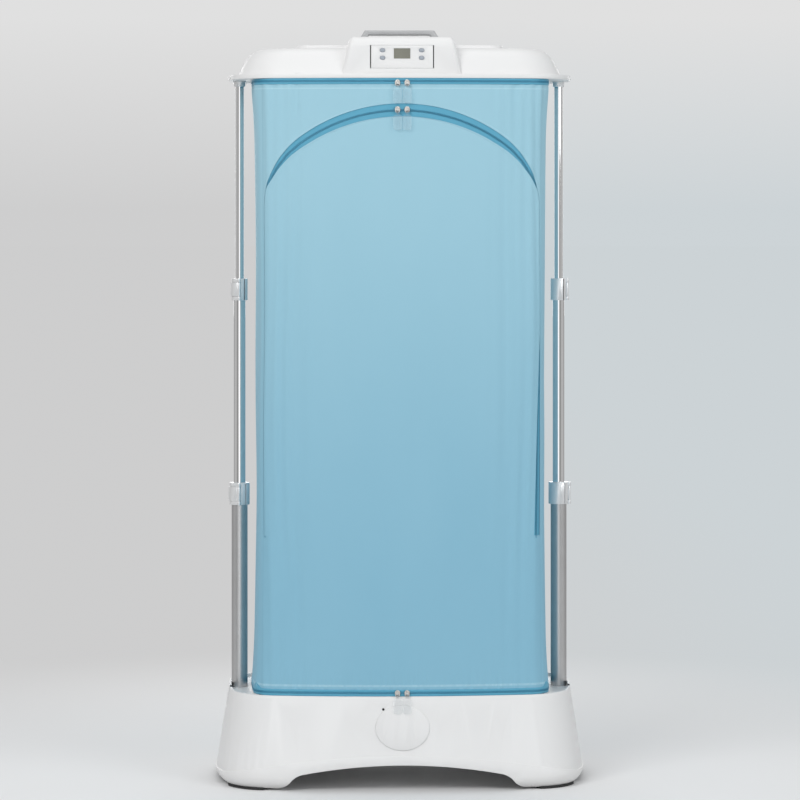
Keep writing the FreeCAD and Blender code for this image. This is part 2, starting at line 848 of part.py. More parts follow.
def make_clamp(stage, name, side, outer_tube, inner_tube, tube_top, azimuth, turn):
    """Flip-lock clamp: a stepped, split collar on the outer tube, its pin and its wrap lever."""
    grip = mm(outer_tube) / 2
    slide = mm(inner_tube) / 2 + mm("running_clearance")
    outside = grip + mm("collar_wall")
    height = mm("collar_height")
    ring = mm("collar_ring_height")
    step = height - mm("collar_cap")
    base = tube_top - step

    profile = Part.Face(
        Part.makePolygon(
            [
                vec(grip, 0, 0),
                vec(outside, 0, 0),
                vec(outside, 0, height),
                vec(slide, 0, height),
                vec(slide, 0, step),
                vec(grip, 0, step),
                vec(grip, 0, 0),
            ]
        )
    )
    collar = profile.revolve(vec(0, 0, 0), vec(0, 0, 1), 360)

    pin_radius = mm("lever_pin_diameter") / 2
    pin_reach = outside + mm("lever_pin_offset")
    aim = math.radians(azimuth)
    pin_x = pin_reach * math.cos(aim)
    pin_y = pin_reach * math.sin(aim)
    eye = pin_radius + mm("running_clearance") + mm("lever_eye_wall")
    lug = pin_radius + mm("lever_lug_wall")
    wrap = turn * mm("lever_wrap_angle")
    end = wrap - turn * mm("lever_end_angle")
    floor = outside - mm("lever_recess")

    recess = sector(floor, 2 * outside, ring, height - ring, azimuth, wrap)
    eye_room = rod(eye + mm("lever_gap"), vec(pin_x, pin_y, ring), vec(pin_x, pin_y, height - ring))
    for low, high in ((0, ring), (height - ring, height)):
        knuckle = rod(lug, vec(pin_x, pin_y, low), vec(pin_x, pin_y, high))
        collar = collar.fuse(knuckle.cut(rod(grip + mm("lever_gap"), vec(0, 0, low), vec(0, 0, high))))
    collar = collar.cut(recess).cut(eye_room)
    collar = collar.fuse(rod(pin_radius, vec(pin_x, pin_y, 0), vec(pin_x, pin_y, height)))
    slit = box(
        vec(slide - mm("lever_gap"), -mm("collar_slit") / 2, -mm("cut_overshoot")),
        vec(2 * outside, mm("collar_slit") / 2, height + mm("cut_overshoot")),
    )
    slit.rotate(vec(0, 0, 0), vec(0, 0, 1), azimuth - turn * mm("collar_slit_angle"))
    collar = collar.cut(slit)

    gap = mm("lever_gap")
    low = ring + gap
    high = height - ring - gap
    plate = sector(floor + gap, outside + mm("lever_proud"), low, high, azimuth, end)
    lever = plate.fuse(rod(eye, vec(pin_x, pin_y, low), vec(pin_x, pin_y, high)))
    # finger tail: rooted in the plate, then standing clear of the collar
    out = outside + mm("lever_tail_proud")
    root = mm("lever_tail_length") / 2
    tail = box(vec(floor + 2 * gap, -root, low), vec(out, -gap, high))
    tail = tail.fuse(box(vec(outside + gap, -root, low), vec(out, mm("lever_tail_length"), high)))
    if turn < 0:
        tail = tail.mirror(vec(0, 0, 0), vec(0, 1, 0))
    tail.rotate(vec(0, 0, 0), vec(0, 0, 1), azimuth + end)
    hole = pin_radius + mm("running_clearance")
    lever = lever.fuse(tail).cut(rod(hole, vec(pin_x, pin_y, 0), vec(pin_x, pin_y, height)))

    spot = vec(side * mm("pole_offset"), 0, base)
    for label, shape in ((stage + "_collar_" + name, collar), (stage + "_lever_" + name, lever)):
        piece = shaped(label, shape.removeSplitter())
        piece.Placement = FreeCAD.Placement(spot, FreeCAD.Rotation())


def make_clamps():
    for name, side, azimuth, turn in (
        ("left", -1, mm("left_pin_azimuth"), -1),
        ("right", 1, mm("right_pin_azimuth"), 1),
    ):
        make_clamp(
            "lower",
            name,
            side,
            "lower_tube_diameter",
            "middle_tube_diameter",
            mm("lower_tube_top"),
            azimuth,
            turn,
        )
        make_clamp(
            "upper",
            name,
            side,
            "middle_tube_diameter",
            "upper_tube_diameter",
            mm("middle_tube_top"),
            azimuth,
            turn,
        )


def make_top_sockets():
    for name, side in (("left", -1), ("right", 1)):
        bore = of.upper_tube_diameter / 2 + of.running_clearance
        outer = of.top_socket_diameter / 2
        top = of.top_rim_bottom
        body = turned(
            "top_socket_" + name,
            [
                (bore, top - of.top_socket_height),
                (outer, top - of.top_socket_height),
                (outer, top - of.top_socket_lip),
                (outer + of.top_socket_lip, top - of.top_socket_lip),
                (outer + of.top_socket_lip, top),
                (bore, top),
            ],
        )
        place(body, side * of.pole_offset)
        finish(body, "top_socket_" + name)


# ---- top unit -------------------------------------------------------------------------------


def make_tray():
    """Floor of the top unit: rim plate with a pocket, outlet hole, pole sockets and end lips."""
    low = mm("top_rim_bottom")
    high = low + mm("top_rim_height")
    tray = prism(rim_wire(0, low), mm("top_rim_height"))
    lip = mm("tray_lip")
    reach = mm("tray_lip_half_length")
    wide = 2 * mm("rim_half_width")
    lip_low = high - mm("tray_lip_height")
    lips = prism(rim_wire(-lip, lip_low), mm("tray_lip_height"))
    lips = lips.common(box(vec(-wide, -reach, lip_low), vec(wide, reach, high)))
    over = mm("cut_overshoot")
    tray = tray.fuse(lips)
    tray = tray.cut(
        box(
            vec(-mm("tray_pocket_half_width"), -mm("tray_pocket_half_depth"), low + mm("tray_floor")),
            vec(mm("tray_pocket_half_width"), mm("tray_pocket_half_depth"), high + over),
        )
    )
    tray = tray.cut(
        box(
            vec(-mm("outlet_half_length"), -mm("outlet_half_width"), low - over),
            vec(mm("outlet_half_length"), mm("outlet_half_width"), high),
        )
    )
    for side in (-1, 1):
        x = side * mm("pole_offset")
        radius = mm("upper_tube_diameter") / 2 + mm("running_clearance")
        bore_top = high - mm("upper_tube_sink") + mm("seat_gap")
        tray = tray.cut(rod(radius, vec(x, 0, low - over), vec(x, 0, bore_top)))
    for x, y in screw_spots():
        shank = mm("screw_shank_diameter") / 2 + mm("screw_gap")
        head = mm("screw_head_diameter") / 2 + mm("screw_gap")
        tray = tray.cut(rod(shank, vec(x, y, low - over), vec(x, y, high + over)))
        sunk = low + mm("screw_head_height")
        tray = tray.cut(rod(head, vec(x, y, low - over), vec(x, y, sunk)))
    shaped("top_tray", tray.removeSplitter())


def screw_spots():
    """Places of the screws that hold the dome on the tray, just inside the rim."""
    y = mm("rim_half_depth") - mm("dome_foot_inset") - 2 * mm("screw_head_diameter")
    spread = mm("screw_spread")
    return [(x, side * y) for x in (-spread, 0, spread) for side in (-1, 1)]


def make_screws():
    screws = []
    low = mm("top_rim_bottom")
    for x, y in screw_spots():
        head = rod(
            mm("screw_head_diameter") / 2,
            vec(x, y, low + mm("screw_gap")),
            vec(x, y, low + mm("screw_head_height")),
        )
        top = low + mm("screw_head_height") + mm("screw_shank_length")
        shank = rod(
            mm("screw_shank_diameter") / 2, vec(x, y, low + mm("screw_gap")), vec(x, y, top)
        )
        screws.append(head.fuse(shank).removeSplitter())
    shaped("top_screws", Part.makeCompound(screws))


def dome_form(inset):
    """Outer or inner form of the dome: five plans whose inset grows towards the flat top."""
    start = mm("top_rim_bottom") + mm("top_rim_height")
    wires = []
    for rise, draw in (
        (0, mm("dome_foot_inset")),
        (mm("dome_shoulder_rise"), mm("dome_shoulder_inset")),
        (mm("dome_crown_rise"), mm("dome_crown_inset")),
        (mm("dome_brow_rise"), mm("dome_brow_inset")),
        (mm("dome_top_rise"), mm("dome_top_inset")),
    ):
        height = start + rise - (inset if rise else 0)
        wires.append(
            plan_wire(
                mm("rim_half_width") - draw - inset,
                mm("rim_half_depth") - draw - inset,
                mm("corner_arc_radius") - draw / 2 - inset,
                height,
                mm("front_arc_radius"),
                mm("side_arc_radius"),
            )
        )
    return Part.makeLoft(wires, True, False)


def block_form(inset):
    """Raised middle block of the dome, front to back, with rounded brows and flanks."""
    start = mm("top_rim_bottom") + mm("top_rim_height")
    top = start + mm("block_top_rise") - inset
    foot = mm("block_half_width_foot") - inset
    crown = mm("block_half_width_top") - inset
    depth = mm("rim_half_depth") - mm("dome_foot_inset") - inset
    corners = [
        vec(-foot, -depth, start),
        vec(foot, -depth, start),
        vec(crown, -depth, top),
        vec(-crown, -depth, top),
        vec(-foot, -depth, start),
    ]
    block = Part.Face(Part.makePolygon(corners)).extrude(vec(0, 2 * depth, 0))
    brows = []
    for edge in block.Edges:
        spread = edge.BoundBox
        if spread.ZMin > top - 0.01 and spread.XLength > crown:
            brows.append(edge)
    block = block.makeFillet(mm("block_brow_radius") - inset, brows)
    flanks = []
    for edge in block.Edges:
        spread = edge.BoundBox
        if spread.XLength < 1 and spread.YLength > depth and spread.ZMin > top - 0.01:
            flanks.append(edge)
    return block.makeFillet(mm("block_corner_radius") - inset, flanks)


def rounded_box(low, high, corner):
    """A box whose upright edges are rounded."""
    shape = box(low, high)
    upright = [edge for edge in shape.Edges if edge.BoundBox.ZLength > 0.9 * (high.z - low.z)]
    return shape.makeFillet(corner, upright)


def make_dome():
    start = mm("top_rim_bottom") + mm("top_rim_height")
    top = start + mm("block_top_rise")
    wall = mm("dome_wall")
    outer = dome_form(0).fuse(block_form(0))
    inner = dome_form(wall).fuse(block_form(wall))

    # hand recess under the handle, closed below by its own floor
    low = top - mm("hand_recess_depth")
    length = mm("hand_recess_half_length")
    width = mm("hand_recess_half_width")
    bowl = rounded_box(
        vec(-length, -width, low), vec(length, width, top + wall), mm("hand_recess_corner")
    )
    shell = rounded_box(
        vec(-length - wall, -width - wall, low - wall),
        vec(length + wall, width + wall, top),
        mm("hand_recess_corner") + wall,
    )
    dome = outer.cut(inner).fuse(shell.common(outer)).cut(bowl)

    # front window for the control panel, with a shelf behind it
    face = mm("rim_half_depth") - mm("dome_foot_inset")
    gap = mm("panel_edge_gap")
    panel_low = start + mm("panel_bottom_rise") - gap
    panel_high = panel_low + mm("panel_height") + 2 * gap
    half = mm("panel_half_width") + mm("panel_side_gap")
    shelf = mm("panel_shelf")
    back = -face + mm("panel_thickness") + gap
    frame = box(
        vec(-half - shelf, -face + mm("panel_frame_sink"), panel_low - shelf),
        vec(half + shelf, back + mm("panel_frame_depth"), panel_high + shelf),
    )
    dome = dome.fuse(frame.common(outer))
    over = mm("cut_overshoot")
    dome = dome.cut(box(vec(-half, -face - over, panel_low), vec(half, back, panel_high)))
    back += mm("panel_frame_depth") + over
    dome = dome.cut(
        box(vec(-half + shelf, -face, panel_low + shelf), vec(half - shelf, back, panel_high - shelf))
    )

    # rear intake slots over both wings
    pitch = mm("intake_slot_pitch")
    span = (mm("intake_slot_count") - 1) / 2
    slot_low = start + mm("intake_rise")
    slot_front = mm("rim_half_depth") - mm("intake_cut_depth")
    for side in (-1, 1):
        for number in range(int(mm("intake_slot_count"))):
            x = side * mm("intake_centre_x") + (number - span) * pitch
            half_slot = mm("intake_slot_width") / 2
            slot = box(
                vec(x - half_slot, slot_front, slot_low),
                vec(x + half_slot, mm("rim_half_depth"), slot_low + mm("intake_slot_height")),
            )
            dome = dome.cut(slot)

    # opening for the power inlet in the block's rear face
    gap = mm("screw_gap")
    width = mm("inlet_width") / 2 + gap
    middle = start + mm("inlet_rise")
    tall = mm("inlet_height") / 2 + gap
    dome = dome.cut(
        box(vec(-width, face - 3 * wall, middle - tall), vec(width, face + over, middle + tall))
    )
    # screw bosses end as blind holes in the dome's foot
    for x, y in screw_spots():
        radius = mm("screw_head_diameter") / 2
        boss = rod(radius, vec(x, y, start), vec(x, y, start + mm("screw_shank_length")))
        hole_top = start - mm("top_rim_height") + mm("screw_head_height") + mm("screw_shank_length")
        hole = rod(
            mm("screw_shank_diameter") / 2 + mm("running_clearance"),
            vec(x, y, start - over),
            vec(x, y, hole_top + gap),
        )
        dome = dome.fuse(boss.common(outer)).cut(hole)
    shaped("top_dome", dome.removeSplitter())


def make_handle():
    """Flat bridge handle over the hand recess, with sloping ends and softened edges."""
    low = mm("top_rim_bottom") + mm("top_rim_height") + mm("block_top_rise")
    top = low + mm("handle_rise")
    end = mm("handle_half_length")
    slope = mm("handle_end_slope")
    foot = mm("handle_foot_length")
    under = top - mm("handle_thickness")
    width = mm("handle_half_width")
    outline = [
        (-end, low),
        (-end + slope, top),
        (end - slope, top),
        (end, low),
        (end - foot, low),
        (end - foot - slope / 2, under),
        (-end + foot + slope / 2, under),
        (-end + foot, low),
    ]
    spots = [vec(x, -width, z) for x, z in outline]
    handle = Part.Face(Part.makePolygon(spots + spots[:1])).extrude(vec(0, 2 * width, 0))
    soft = []
    for edge in handle.Edges:
        spread = edge.BoundBox
        if spread.ZMin > low + 0.1 and spread.YLength > width:
            soft.append(edge)
    handle = handle.makeFillet(mm("handle_edge_radius"), soft)
    shaped("carry_handle", handle)


def panel_frame():
    """Front face, foot height and middle height of the control panel, as sizes."""
    start = of.top_rim_bottom + of.top_rim_height
    face = of.rim_half_depth - of.dome_foot_inset
    low = start + of.panel_bottom_rise
    return face, low


def button_spots():
    """Places of the four buttons on the panel, as pairs of sizes."""
    face, low = panel_frame()
    spots = []
    for name, x in (("left", -1), ("right", 1)):
        for level, z in (("upper", 1), ("lower", -1)):
            spots.append(
                (
                    level + "_" + name,
                    x * of.button_offset_x,
                    low + of.button_rise + z * of.button_pitch / 2,
                )
            )
    return spots


def slot_outline(sketch, x, z, half_width, height):
    """A rounded slot: two straight edges and two half-circle ends, tied to the sheet."""
    radius = height / 2
    reach = half_width - radius
    left = x - reach
    right = x + reach
    top = Part.LineSegment(vec(left, z + radius, 0), vec(right, z + radius, 0))
    low = Part.LineSegment(vec(right, z - radius, 0), vec(left, z - radius, 0))
    turn_right = Part.Arc(
        vec(right, z + radius, 0), vec(right + radius, z, 0), vec(right, z - radius, 0)
    )
    turn_left = Part.Arc(vec(left, z - radius, 0), vec(left - radius, z, 0), vec(left, z + radius, 0))
    upper = sketch.addGeometry(top, False)
    lower = sketch.addGeometry(low, False)
    right_end = sketch.addGeometry(turn_right, False)
    left_end = sketch.addGeometry(turn_left, False)
    tie(sketch, "DistanceX", upper, 1, left)
    tie(sketch, "DistanceY", upper, 1, z + radius)
    tie(sketch, "DistanceX", upper, 2, right)
    tie(sketch, "DistanceY", upper, 2, z + radius)
    tie(sketch, "DistanceX", lower, 1, right)
    tie(sketch, "DistanceY", lower, 1, z - radius)
    tie(sketch, "DistanceX", lower, 2, left)
    tie(sketch, "DistanceY", lower, 2, z - radius)
    for arc_edge, start, end in ((right_end, upper, lower), (left_end, lower, upper)):
        first, second = arc_ends(sketch, arc_edge, sketch.getPoint(start, 2))
        sketch.addConstraint(Sketcher.Constraint("Coincident", arc_edge, first, start, 2))
        sketch.addConstraint(Sketcher.Constraint("Coincident", arc_edge, second, end, 1))
    for arc_edge, centre in ((right_end, right), (left_end, left)):
        tie(sketch, "DistanceX", arc_edge, 3, centre)


def arc_ends(sketch, edge, near):
    """Which end of an arc lies at a spot, and which one doesn't."""
    if (sketch.getPoint(edge, 1) - near).Length < 1e-6:
        return 1, 2
    return 2, 1


def make_panel():
    face, low = panel_frame()
    body = doc.addObject("PartDesign::Body", "control_panel")
    # the sketch plane's normal points to the front
    sketch = new_sketch(body, "XZ_Plane", face)
    draw_outline(sketch, rectangle(of.panel_half_width, low, low + of.panel_height))
    add_pad(body, sketch, of.panel_thickness, True)
    window = new_sketch(body, "XZ_Plane", face)
    middle = low + of.display_rise
    half = of.display_height / 2
    draw_outline(
        window,
        rectangle(
            of.display_half_width + of.panel_edge_gap,
            middle - half - of.panel_edge_gap,
            middle + half + of.panel_edge_gap,
        ),
    )
    add_pocket(body, window, of.display_thickness)
    for level, x, z in button_spots():
        hole = new_sketch(body, "XZ_Plane", face)
        slot_outline(
            hole, x, z, of.button_half_width + of.button_gap, of.button_height + 2 * of.button_gap
        )
        add_pocket(body, hole, of.panel_thickness)
    posts = new_sketch(body, "XZ_Plane", face - of.panel_thickness)
    inset = of.board_post_diameter
    for x in (-1, 1):
        for z in (2 * of.board_post_diameter, of.panel_height - 2 * of.board_post_diameter):
            draw_circle(posts, of.board_post_diameter / 2, x * (of.board_half_width - inset), low + z)
    add_pad(body, posts, board_gap(), True)
    finish(body, "control_panel")


def board_gap():
    """Free depth between the back of the panel and the control board."""
    return of.button_flange + of.button_travel + of.button_gap


def make_display():
    face, low = panel_frame()
    middle = low + of.display_rise
    half = of.display_height / 2
    body = doc.addObject("PartDesign::Body", "display_window")
    sketch = new_sketch(body, "XZ_Plane", face - of.panel_edge_gap)
    draw_outline(sketch, rectangle(of.display_half_width, middle - half, middle + half))
    add_pad(body, sketch, of.display_thickness - of.panel_edge_gap, True)
    finish(body, "display_window")


def make_board():
    face, low = panel_frame()
    body = doc.addObject("PartDesign::Body", "control_board")
    front = face - of.panel_thickness - board_gap()
    sketch = new_sketch(body, "XZ_Plane", front)
    middle = low + of.panel_height / 2
    half = of.board_height / 2
    draw_outline(sketch, rectangle(of.board_half_width, middle - half, middle + half))
    add_pad(body, sketch, of.board_thickness, True)
    finish(body, "control_board")


def make_buttons():
    face, low = panel_frame()
    for level, x, z in button_spots():
        body = doc.addObject("PartDesign::Body", "button_" + level)
        cap = new_sketch(body, "XZ_Plane", face + of.button_proud)
        slot_outline(cap, x, z, of.button_half_width, of.button_height)
        add_pad(body, cap, of.button_proud + of.panel_thickness + of.button_gap, True)
        flange = new_sketch(body, "XZ_Plane", face - of.panel_thickness - of.button_gap)
        grow = of.button_gap + of.button_flange
        slot_outline(flange, x, z, of.button_half_width + grow, of.button_height + 2 * grow)
        add_pad(body, flange, of.button_flange, True)
        finish(body, "button_" + level)


def make_outlet():
    """Outlet grille under the heater: a flanged plate with a row of slots."""
    low = of.top_rim_bottom
    body = doc.addObject("PartDesign::Body", "outlet_grille")
    plug = new_sketch(body, "XY_Plane", low - of.grille_thickness + of.tray_floor)
    gap = of.screw_gap
    length = of.outlet_half_length - gap
    width = of.outlet_half_width - gap
    draw_outline(plug, rectangle(length, -width, width))
    add_pad(body, plug, of.grille_thickness)
    flange = new_sketch(body, "XY_Plane", low - of.grille_thickness)
    wide = of.outlet_half_width + of.grille_flange
    draw_outline(flange, rectangle(of.outlet_half_length + of.grille_flange, -wide, wide))
    add_pad(body, flange, of.grille_thickness)
    doc.recompute()
    slot = new_sketch(body, "XY_Plane", low + of.tray_floor)
    pitch = 2 * of.outlet_half_length / (of.grille_bar_count + 1)
    start = pitch - of.outlet_half_length
    half = of.grille_slot_width / 2
    reach = of.outlet_half_width - of.grille_flange
    draw_outline(
        slot,
        [(start - half, -reach), (start + half, -reach), (start + half, reach), (start - half, reach)],
    )
    cut = add_pocket(body, slot, of.tray_floor + 2 * of.grille_thickness)
    row = body.newObject("PartDesign::LinearPattern", "outlet_slots")
    row.Originals = [cut]
    row.Direction = (slot, ["H_Axis"])
    row.Occurrences = int(mm("grille_bar_count"))
    bind(row, "Length", pitch * (of.grille_bar_count - 1))
    body.Tip = row
    finish(body, "outlet_grille")


def make_heater():
    """Heater: an open frame over the outlet with a row of upright fins."""
    low = of.top_rim_bottom + of.tray_floor + of.seat_gap
    body = doc.addObject("PartDesign::Body", "heater_block")
    frame = new_sketch(body, "XY_Plane", low)
    width = of.outlet_half_width + of.heater_wall
    length = of.outlet_half_length + of.heater_wall
    draw_outline(frame, rectangle(length, -width, width))
    inner_width = width - of.heater_wall
    inner_length = length - of.heater_wall
    draw_outline(frame, rectangle(inner_length, -inner_width, inner_width))
    add_pad(body, frame, of.heater_height)
    doc.recompute()
    fin = new_sketch(body, "XY_Plane", low)
    pitch = 2 * inner_length / (of.heater_fin_count + 1)
    start = pitch - inner_length
    half = of.heater_fin / 2
    reach = inner_width + of.heater_wall / 2
    draw_outline(
        fin,
        [(start - half, -reach), (start + half, -reach), (start + half, reach), (start - half, reach)],
    )
    plate = add_pad(body, fin, of.heater_height)
    row = body.newObject("PartDesign::LinearPattern", "heater_fins")
    row.Originals = [plate]
    row.Direction = (fin, ["H_Axis"])
    row.Occurrences = int(mm("heater_fin_count"))
    bind(row, "Length", pitch * (of.heater_fin_count - 1))
    body.Tip = row
    finish(body, "heater_block")


def fan_base():
    """Height of the underside of the fan frame."""
    return of.top_rim_bottom + of.tray_floor + 2 * of.seat_gap + of.heater_height


def make_fan():
    low = float(fan_base())
    half = mm("fan_frame_half_width")
    height = mm("fan_frame_height")
    corner = mm("fan_frame_corner")
    frame = rounded_box(vec(-half, -half, low), vec(half, half, low + height), corner)
    over = mm("cut_overshoot")
    bore = rod(mm("fan_bore_radius"), vec(0, 0, low - over), vec(0, 0, low + height + over))
    frame = frame.cut(bore)
    arm = mm("fan_spider_width") / 2
    thick = mm("fan_spider_thickness")
    spider = rod(mm("motor_radius"), vec(0, 0, low), vec(0, 0, low + thick))
    apart = 360 / mm("fan_spoke_count")
    for number in range(int(mm("fan_spoke_count"))):
        spoke = box(vec(0, -arm, low), vec(mm("fan_bore_radius") + arm, arm, low + thick))
        spoke.rotate(vec(0, 0, 0), vec(0, 0, 1), (number + 0.5) * apart)
        spider = spider.fuse(spoke)
    shaped("fan_housing", frame.fuse(spider).removeSplitter())

    shaft = of.motor_shaft_diameter / 2
    base = fan_base() + of.fan_spider_thickness
    motor = turned(
        "fan_motor",
        [
            (Size.of(0), base),
            (of.motor_radius, base),
            (of.motor_radius, base + of.motor_height),
            (shaft, base + of.motor_height),
            (shaft, base + of.motor_height + of.motor_shaft_length),
            (Size.of(0), base + of.motor_height + of.motor_shaft_length),
        ],
    )
    finish(motor, "fan_motor")

    # wheel: a cup over the motor on the shaft, with twisted blades lofted root to tip
    shaft = mm("motor_shaft_diameter") / 2 + mm("running_clearance")
    motor_top = low + thick + mm("motor_height")
    cup_low = low + thick + mm("fan_hub_gap")
    cup_top = motor_top + mm("motor_shaft_length")
    hub = mm("fan_hub_radius")
    wheel = rod(hub, vec(0, 0, cup_low), vec(0, 0, cup_top))
    wheel = wheel.cut(rod(hub - mm("fan_hub_wall"), vec(0, 0, low), vec(0, 0, motor_top + over)))
    middle = (cup_low + cup_top) / 2
    for number in range(int(mm("fan_blade_count"))):
        blade = fan_blade(middle, cup_top - cup_low)
        blade.rotate(vec(0, 0, 0), vec(0, 0, 1), 360 * number / mm("fan_blade_count"))
        wheel = wheel.fuse(blade)
    wheel = wheel.cut(rod(shaft, vec(0, 0, low), vec(0, 0, cup_top + over)))
    swept = rod(mm("fan_wheel_radius"), vec(0, 0, cup_low), vec(0, 0, cup_top))
    shaped("fan_wheel", wheel.common(swept).removeSplitter())


def fan_blade(middle, depth):
    """Blade section turned from the root pitch to the tip pitch along its length."""
    wires = []
    for reach, pitch in (
        (mm("fan_hub_radius") - mm("fan_hub_wall") / 2, mm("fan_blade_root_pitch")),
        (mm("fan_wheel_radius") + mm("fan_blade_thickness"), mm("fan_blade_tip_pitch")),
    ):
        angle = math.radians(pitch)
        chord = depth * mm("fan_blade_share") / math.sin(angle) / 2
        half = mm("fan_blade_thickness") / 2
        bow = chord * mm("fan_blade_bow")
        along = (math.cos(angle), math.sin(angle))
        across = (-math.sin(angle), math.cos(angle))

        def at(forward, up):
            y = along[0] * forward + across[0] * up
            z = middle + along[1] * forward + across[1] * up
            return vec(reach, y, z)

        wires.append(
            Part.Wire(
                [
                    arc(at(-chord, 0), at(0, bow + half), at(chord, 0)),
                    arc(at(chord, 0), at(0, bow - half), at(-chord, 0)),
                ]
            )
        )
    return Part.makeLoft(wires, True, True)


def make_inlet():
    """Power inlet in the rear face: a flanged cup with two contact blades."""
    face, low = panel_frame()
    middle = float(of.top_rim_bottom + of.top_rim_height + of.inlet_rise)
    rear = float(face)
    width = mm("inlet_width") / 2
    tall = mm("inlet_height") / 2
    flange = mm("inlet_flange")
    wall = mm("inlet_wall")
    depth = mm("inlet_depth")
    cup = box(vec(-width, rear - depth, middle - tall), vec(width, rear, middle + tall))
    plate = box(
        vec(-width - flange, rear, middle - tall - flange),
        vec(width + flange, rear + wall, middle + tall + flange),
    )
    room = box(
        vec(-width + wall, rear - depth + wall, middle - tall + wall),
        vec(width - wall, rear + 2 * wall, middle + tall - wall),
    )
    inlet = cup.fuse(plate).cut(room)
    blade = mm("inlet_blade") / 2
    for side in (-1, 1):
        x = side * width / 3
        inlet = inlet.fuse(
            box(
                vec(x - blade, rear - depth, middle - 3 * blade),
                vec(x + blade, rear - 2 * wall, middle + 3 * blade),
            )
        )
    shaped("power_inlet", inlet.removeSplitter())


def make_rail():
    """Hanger rail from front to back, held by two brackets under the tray."""
    rail = doc.addObject("Part::Cylinder", "hanger_rail")
    bind(rail, "Radius", of.rail_diameter / 2)
    bind(rail, "Height", 2 * of.rail_half_length)
    rail.Placement = FreeCAD.Placement(vec(0, 0, 0), FreeCAD.Rotation(vec(1, 0, 0), -90))
    place(rail, 0, -of.rail_half_length, of.rail_height)
    finish(rail, "hanger_rail")
    for name, side in (("front", -1), ("rear", 1)):
        body = doc.addObject("PartDesign::Body", "rail_bracket_" + name)
        near = of.rail_half_length if side < 0 else of.rail_half_length * -1 + of.bracket_thickness
        arm = new_sketch(body, "XZ_Plane", near)
        half = of.bracket_width / 2
        draw_outline(arm, rectangle(half, of.rail_height, of.top_rim_bottom))
        add_pad(body, arm, of.bracket_thickness, True)
        boss = new_sketch(body, "XZ_Plane", near)
        draw_circle(boss, half, 0, of.rail_height)
        add_pad(body, boss, of.bracket_thickness, True)
        foot = new_sketch(body, "XZ_Plane", near)
        draw_outline(
            foot,
            rectangle(
                half + of.bracket_foot_half_length,
                of.top_rim_bottom - of.bracket_foot_height,
                of.top_rim_bottom,
            ),
        )
        add_pad(body, foot, of.bracket_thickness, True)
        bore = new_sketch(body, "XZ_Plane", near)
        draw_circle(bore, of.rail_diameter / 2 + of.running_clearance, 0, of.rail_height)
        add_pocket(body, bore, of.bracket_thickness)
        finish(body, "rail_bracket_" + name)


# ---- fabric chamber -------------------------------------------------------------------------


def folded_wire(inset, height, draw, fold):
    """Plan of the fabric at one height: the zip ring's plan, drawn in, with two soft folds."""
    half_width = mm("fabric_half_width") - inset - draw
    half_depth = mm("fabric_half_depth") - inset
    corner = mm("fabric_corner_radius") - inset
    front = mm("front_arc_radius") - inset
    on_front, on_corner, on_side = corner_of(half_width, half_depth, corner, front, front)
    outer = mm("fabric_fold_outer_x")
    inner = mm("fabric_fold_inner_x")

    def on_arc(x, sink=0.0):
        return front - half_depth - math.sqrt(front ** 2 - x ** 2) + sink

    def front_run(flip):
        """Front or rear edge from left to right: a fold, a fold, the middle, and again."""
        stops = [-on_front.x, -outer, -inner, inner, outer, on_front.x]
        sinks = [fold, fold, 0.0, fold, fold]
        run = []
        for number, sink in enumerate(sinks):
            x0 = stops[number]
            x1 = stops[number + 1]
            xm = (x0 + x1) / 2
            run.append(
                (
                    vec(x0, flip * on_arc(x0), height),
                    vec(xm, flip * on_arc(xm, sink), height),
                    vec(x1, flip * on_arc(x1), height),
                )
            )
        return run

    def corner_run(x, y):
        first = vec(x * on_front.x, y * on_arc(on_front.x), height)
        middle = vec(x * on_corner.x, y * on_corner.y, height)
        last = vec(x * on_side.x, y * on_side.y, height)
        return first, middle, last

    steps = list(front_run(1))
    steps.append(corner_run(1, 1))
    side_low = vec(on_side.x, on_side.y, height)
    side_high = vec(on_side.x, -on_side.y, height)
    steps.append((side_low, vec(half_width, 0, height), side_high))
    steps.append(tuple(reversed(corner_run(1, -1))))
    steps += [tuple(reversed(three)) for three in reversed(front_run(-1))]
    steps.append(corner_run(-1, -1))
    left_high = vec(-on_side.x, -on_side.y, height)
    left_low = vec(-on_side.x, on_side.y, height)
    steps.append((left_high, vec(-half_width, 0, height), left_low))
    steps.append(tuple(reversed(corner_run(-1, 1))))
    return Part.Wire([arc(*three) for three in steps])


# height share of the fabric, then the shares of the waist draw and of the fold depth there
FABRIC_LEVELS = (
    (0.0, 0.0, 0.0),
    (0.06, 0.45, 0.6),
    (0.3, 1.0, 1.0),
    (0.65, 0.9, 0.7),
    (0.93, 0.5, 0.3),
    (1.0, 0.0, 0.0),
)


def fabric_form(inset):
    """Solid of the fabric box: flat at both hems, drawn in and softly folded between them."""
    low = mm("base_rim_height") + mm("hem_gap") + mm("hem_height")
    high = mm("top_rim_bottom") - mm("hem_gap") - mm("top_hem_height") - mm("hem_gap")
    span = high - low
    draw = mm("fabric_waist_draw")
    fold = mm("fabric_fold_depth")
    wires = []
    for share, draw_share, fold_share in FABRIC_LEVELS:
        wires.append(
            folded_wire(inset, low + share * span, draw * draw_share, fold * fold_share)
        )
    return Part.makeLoft(wires, True, False)


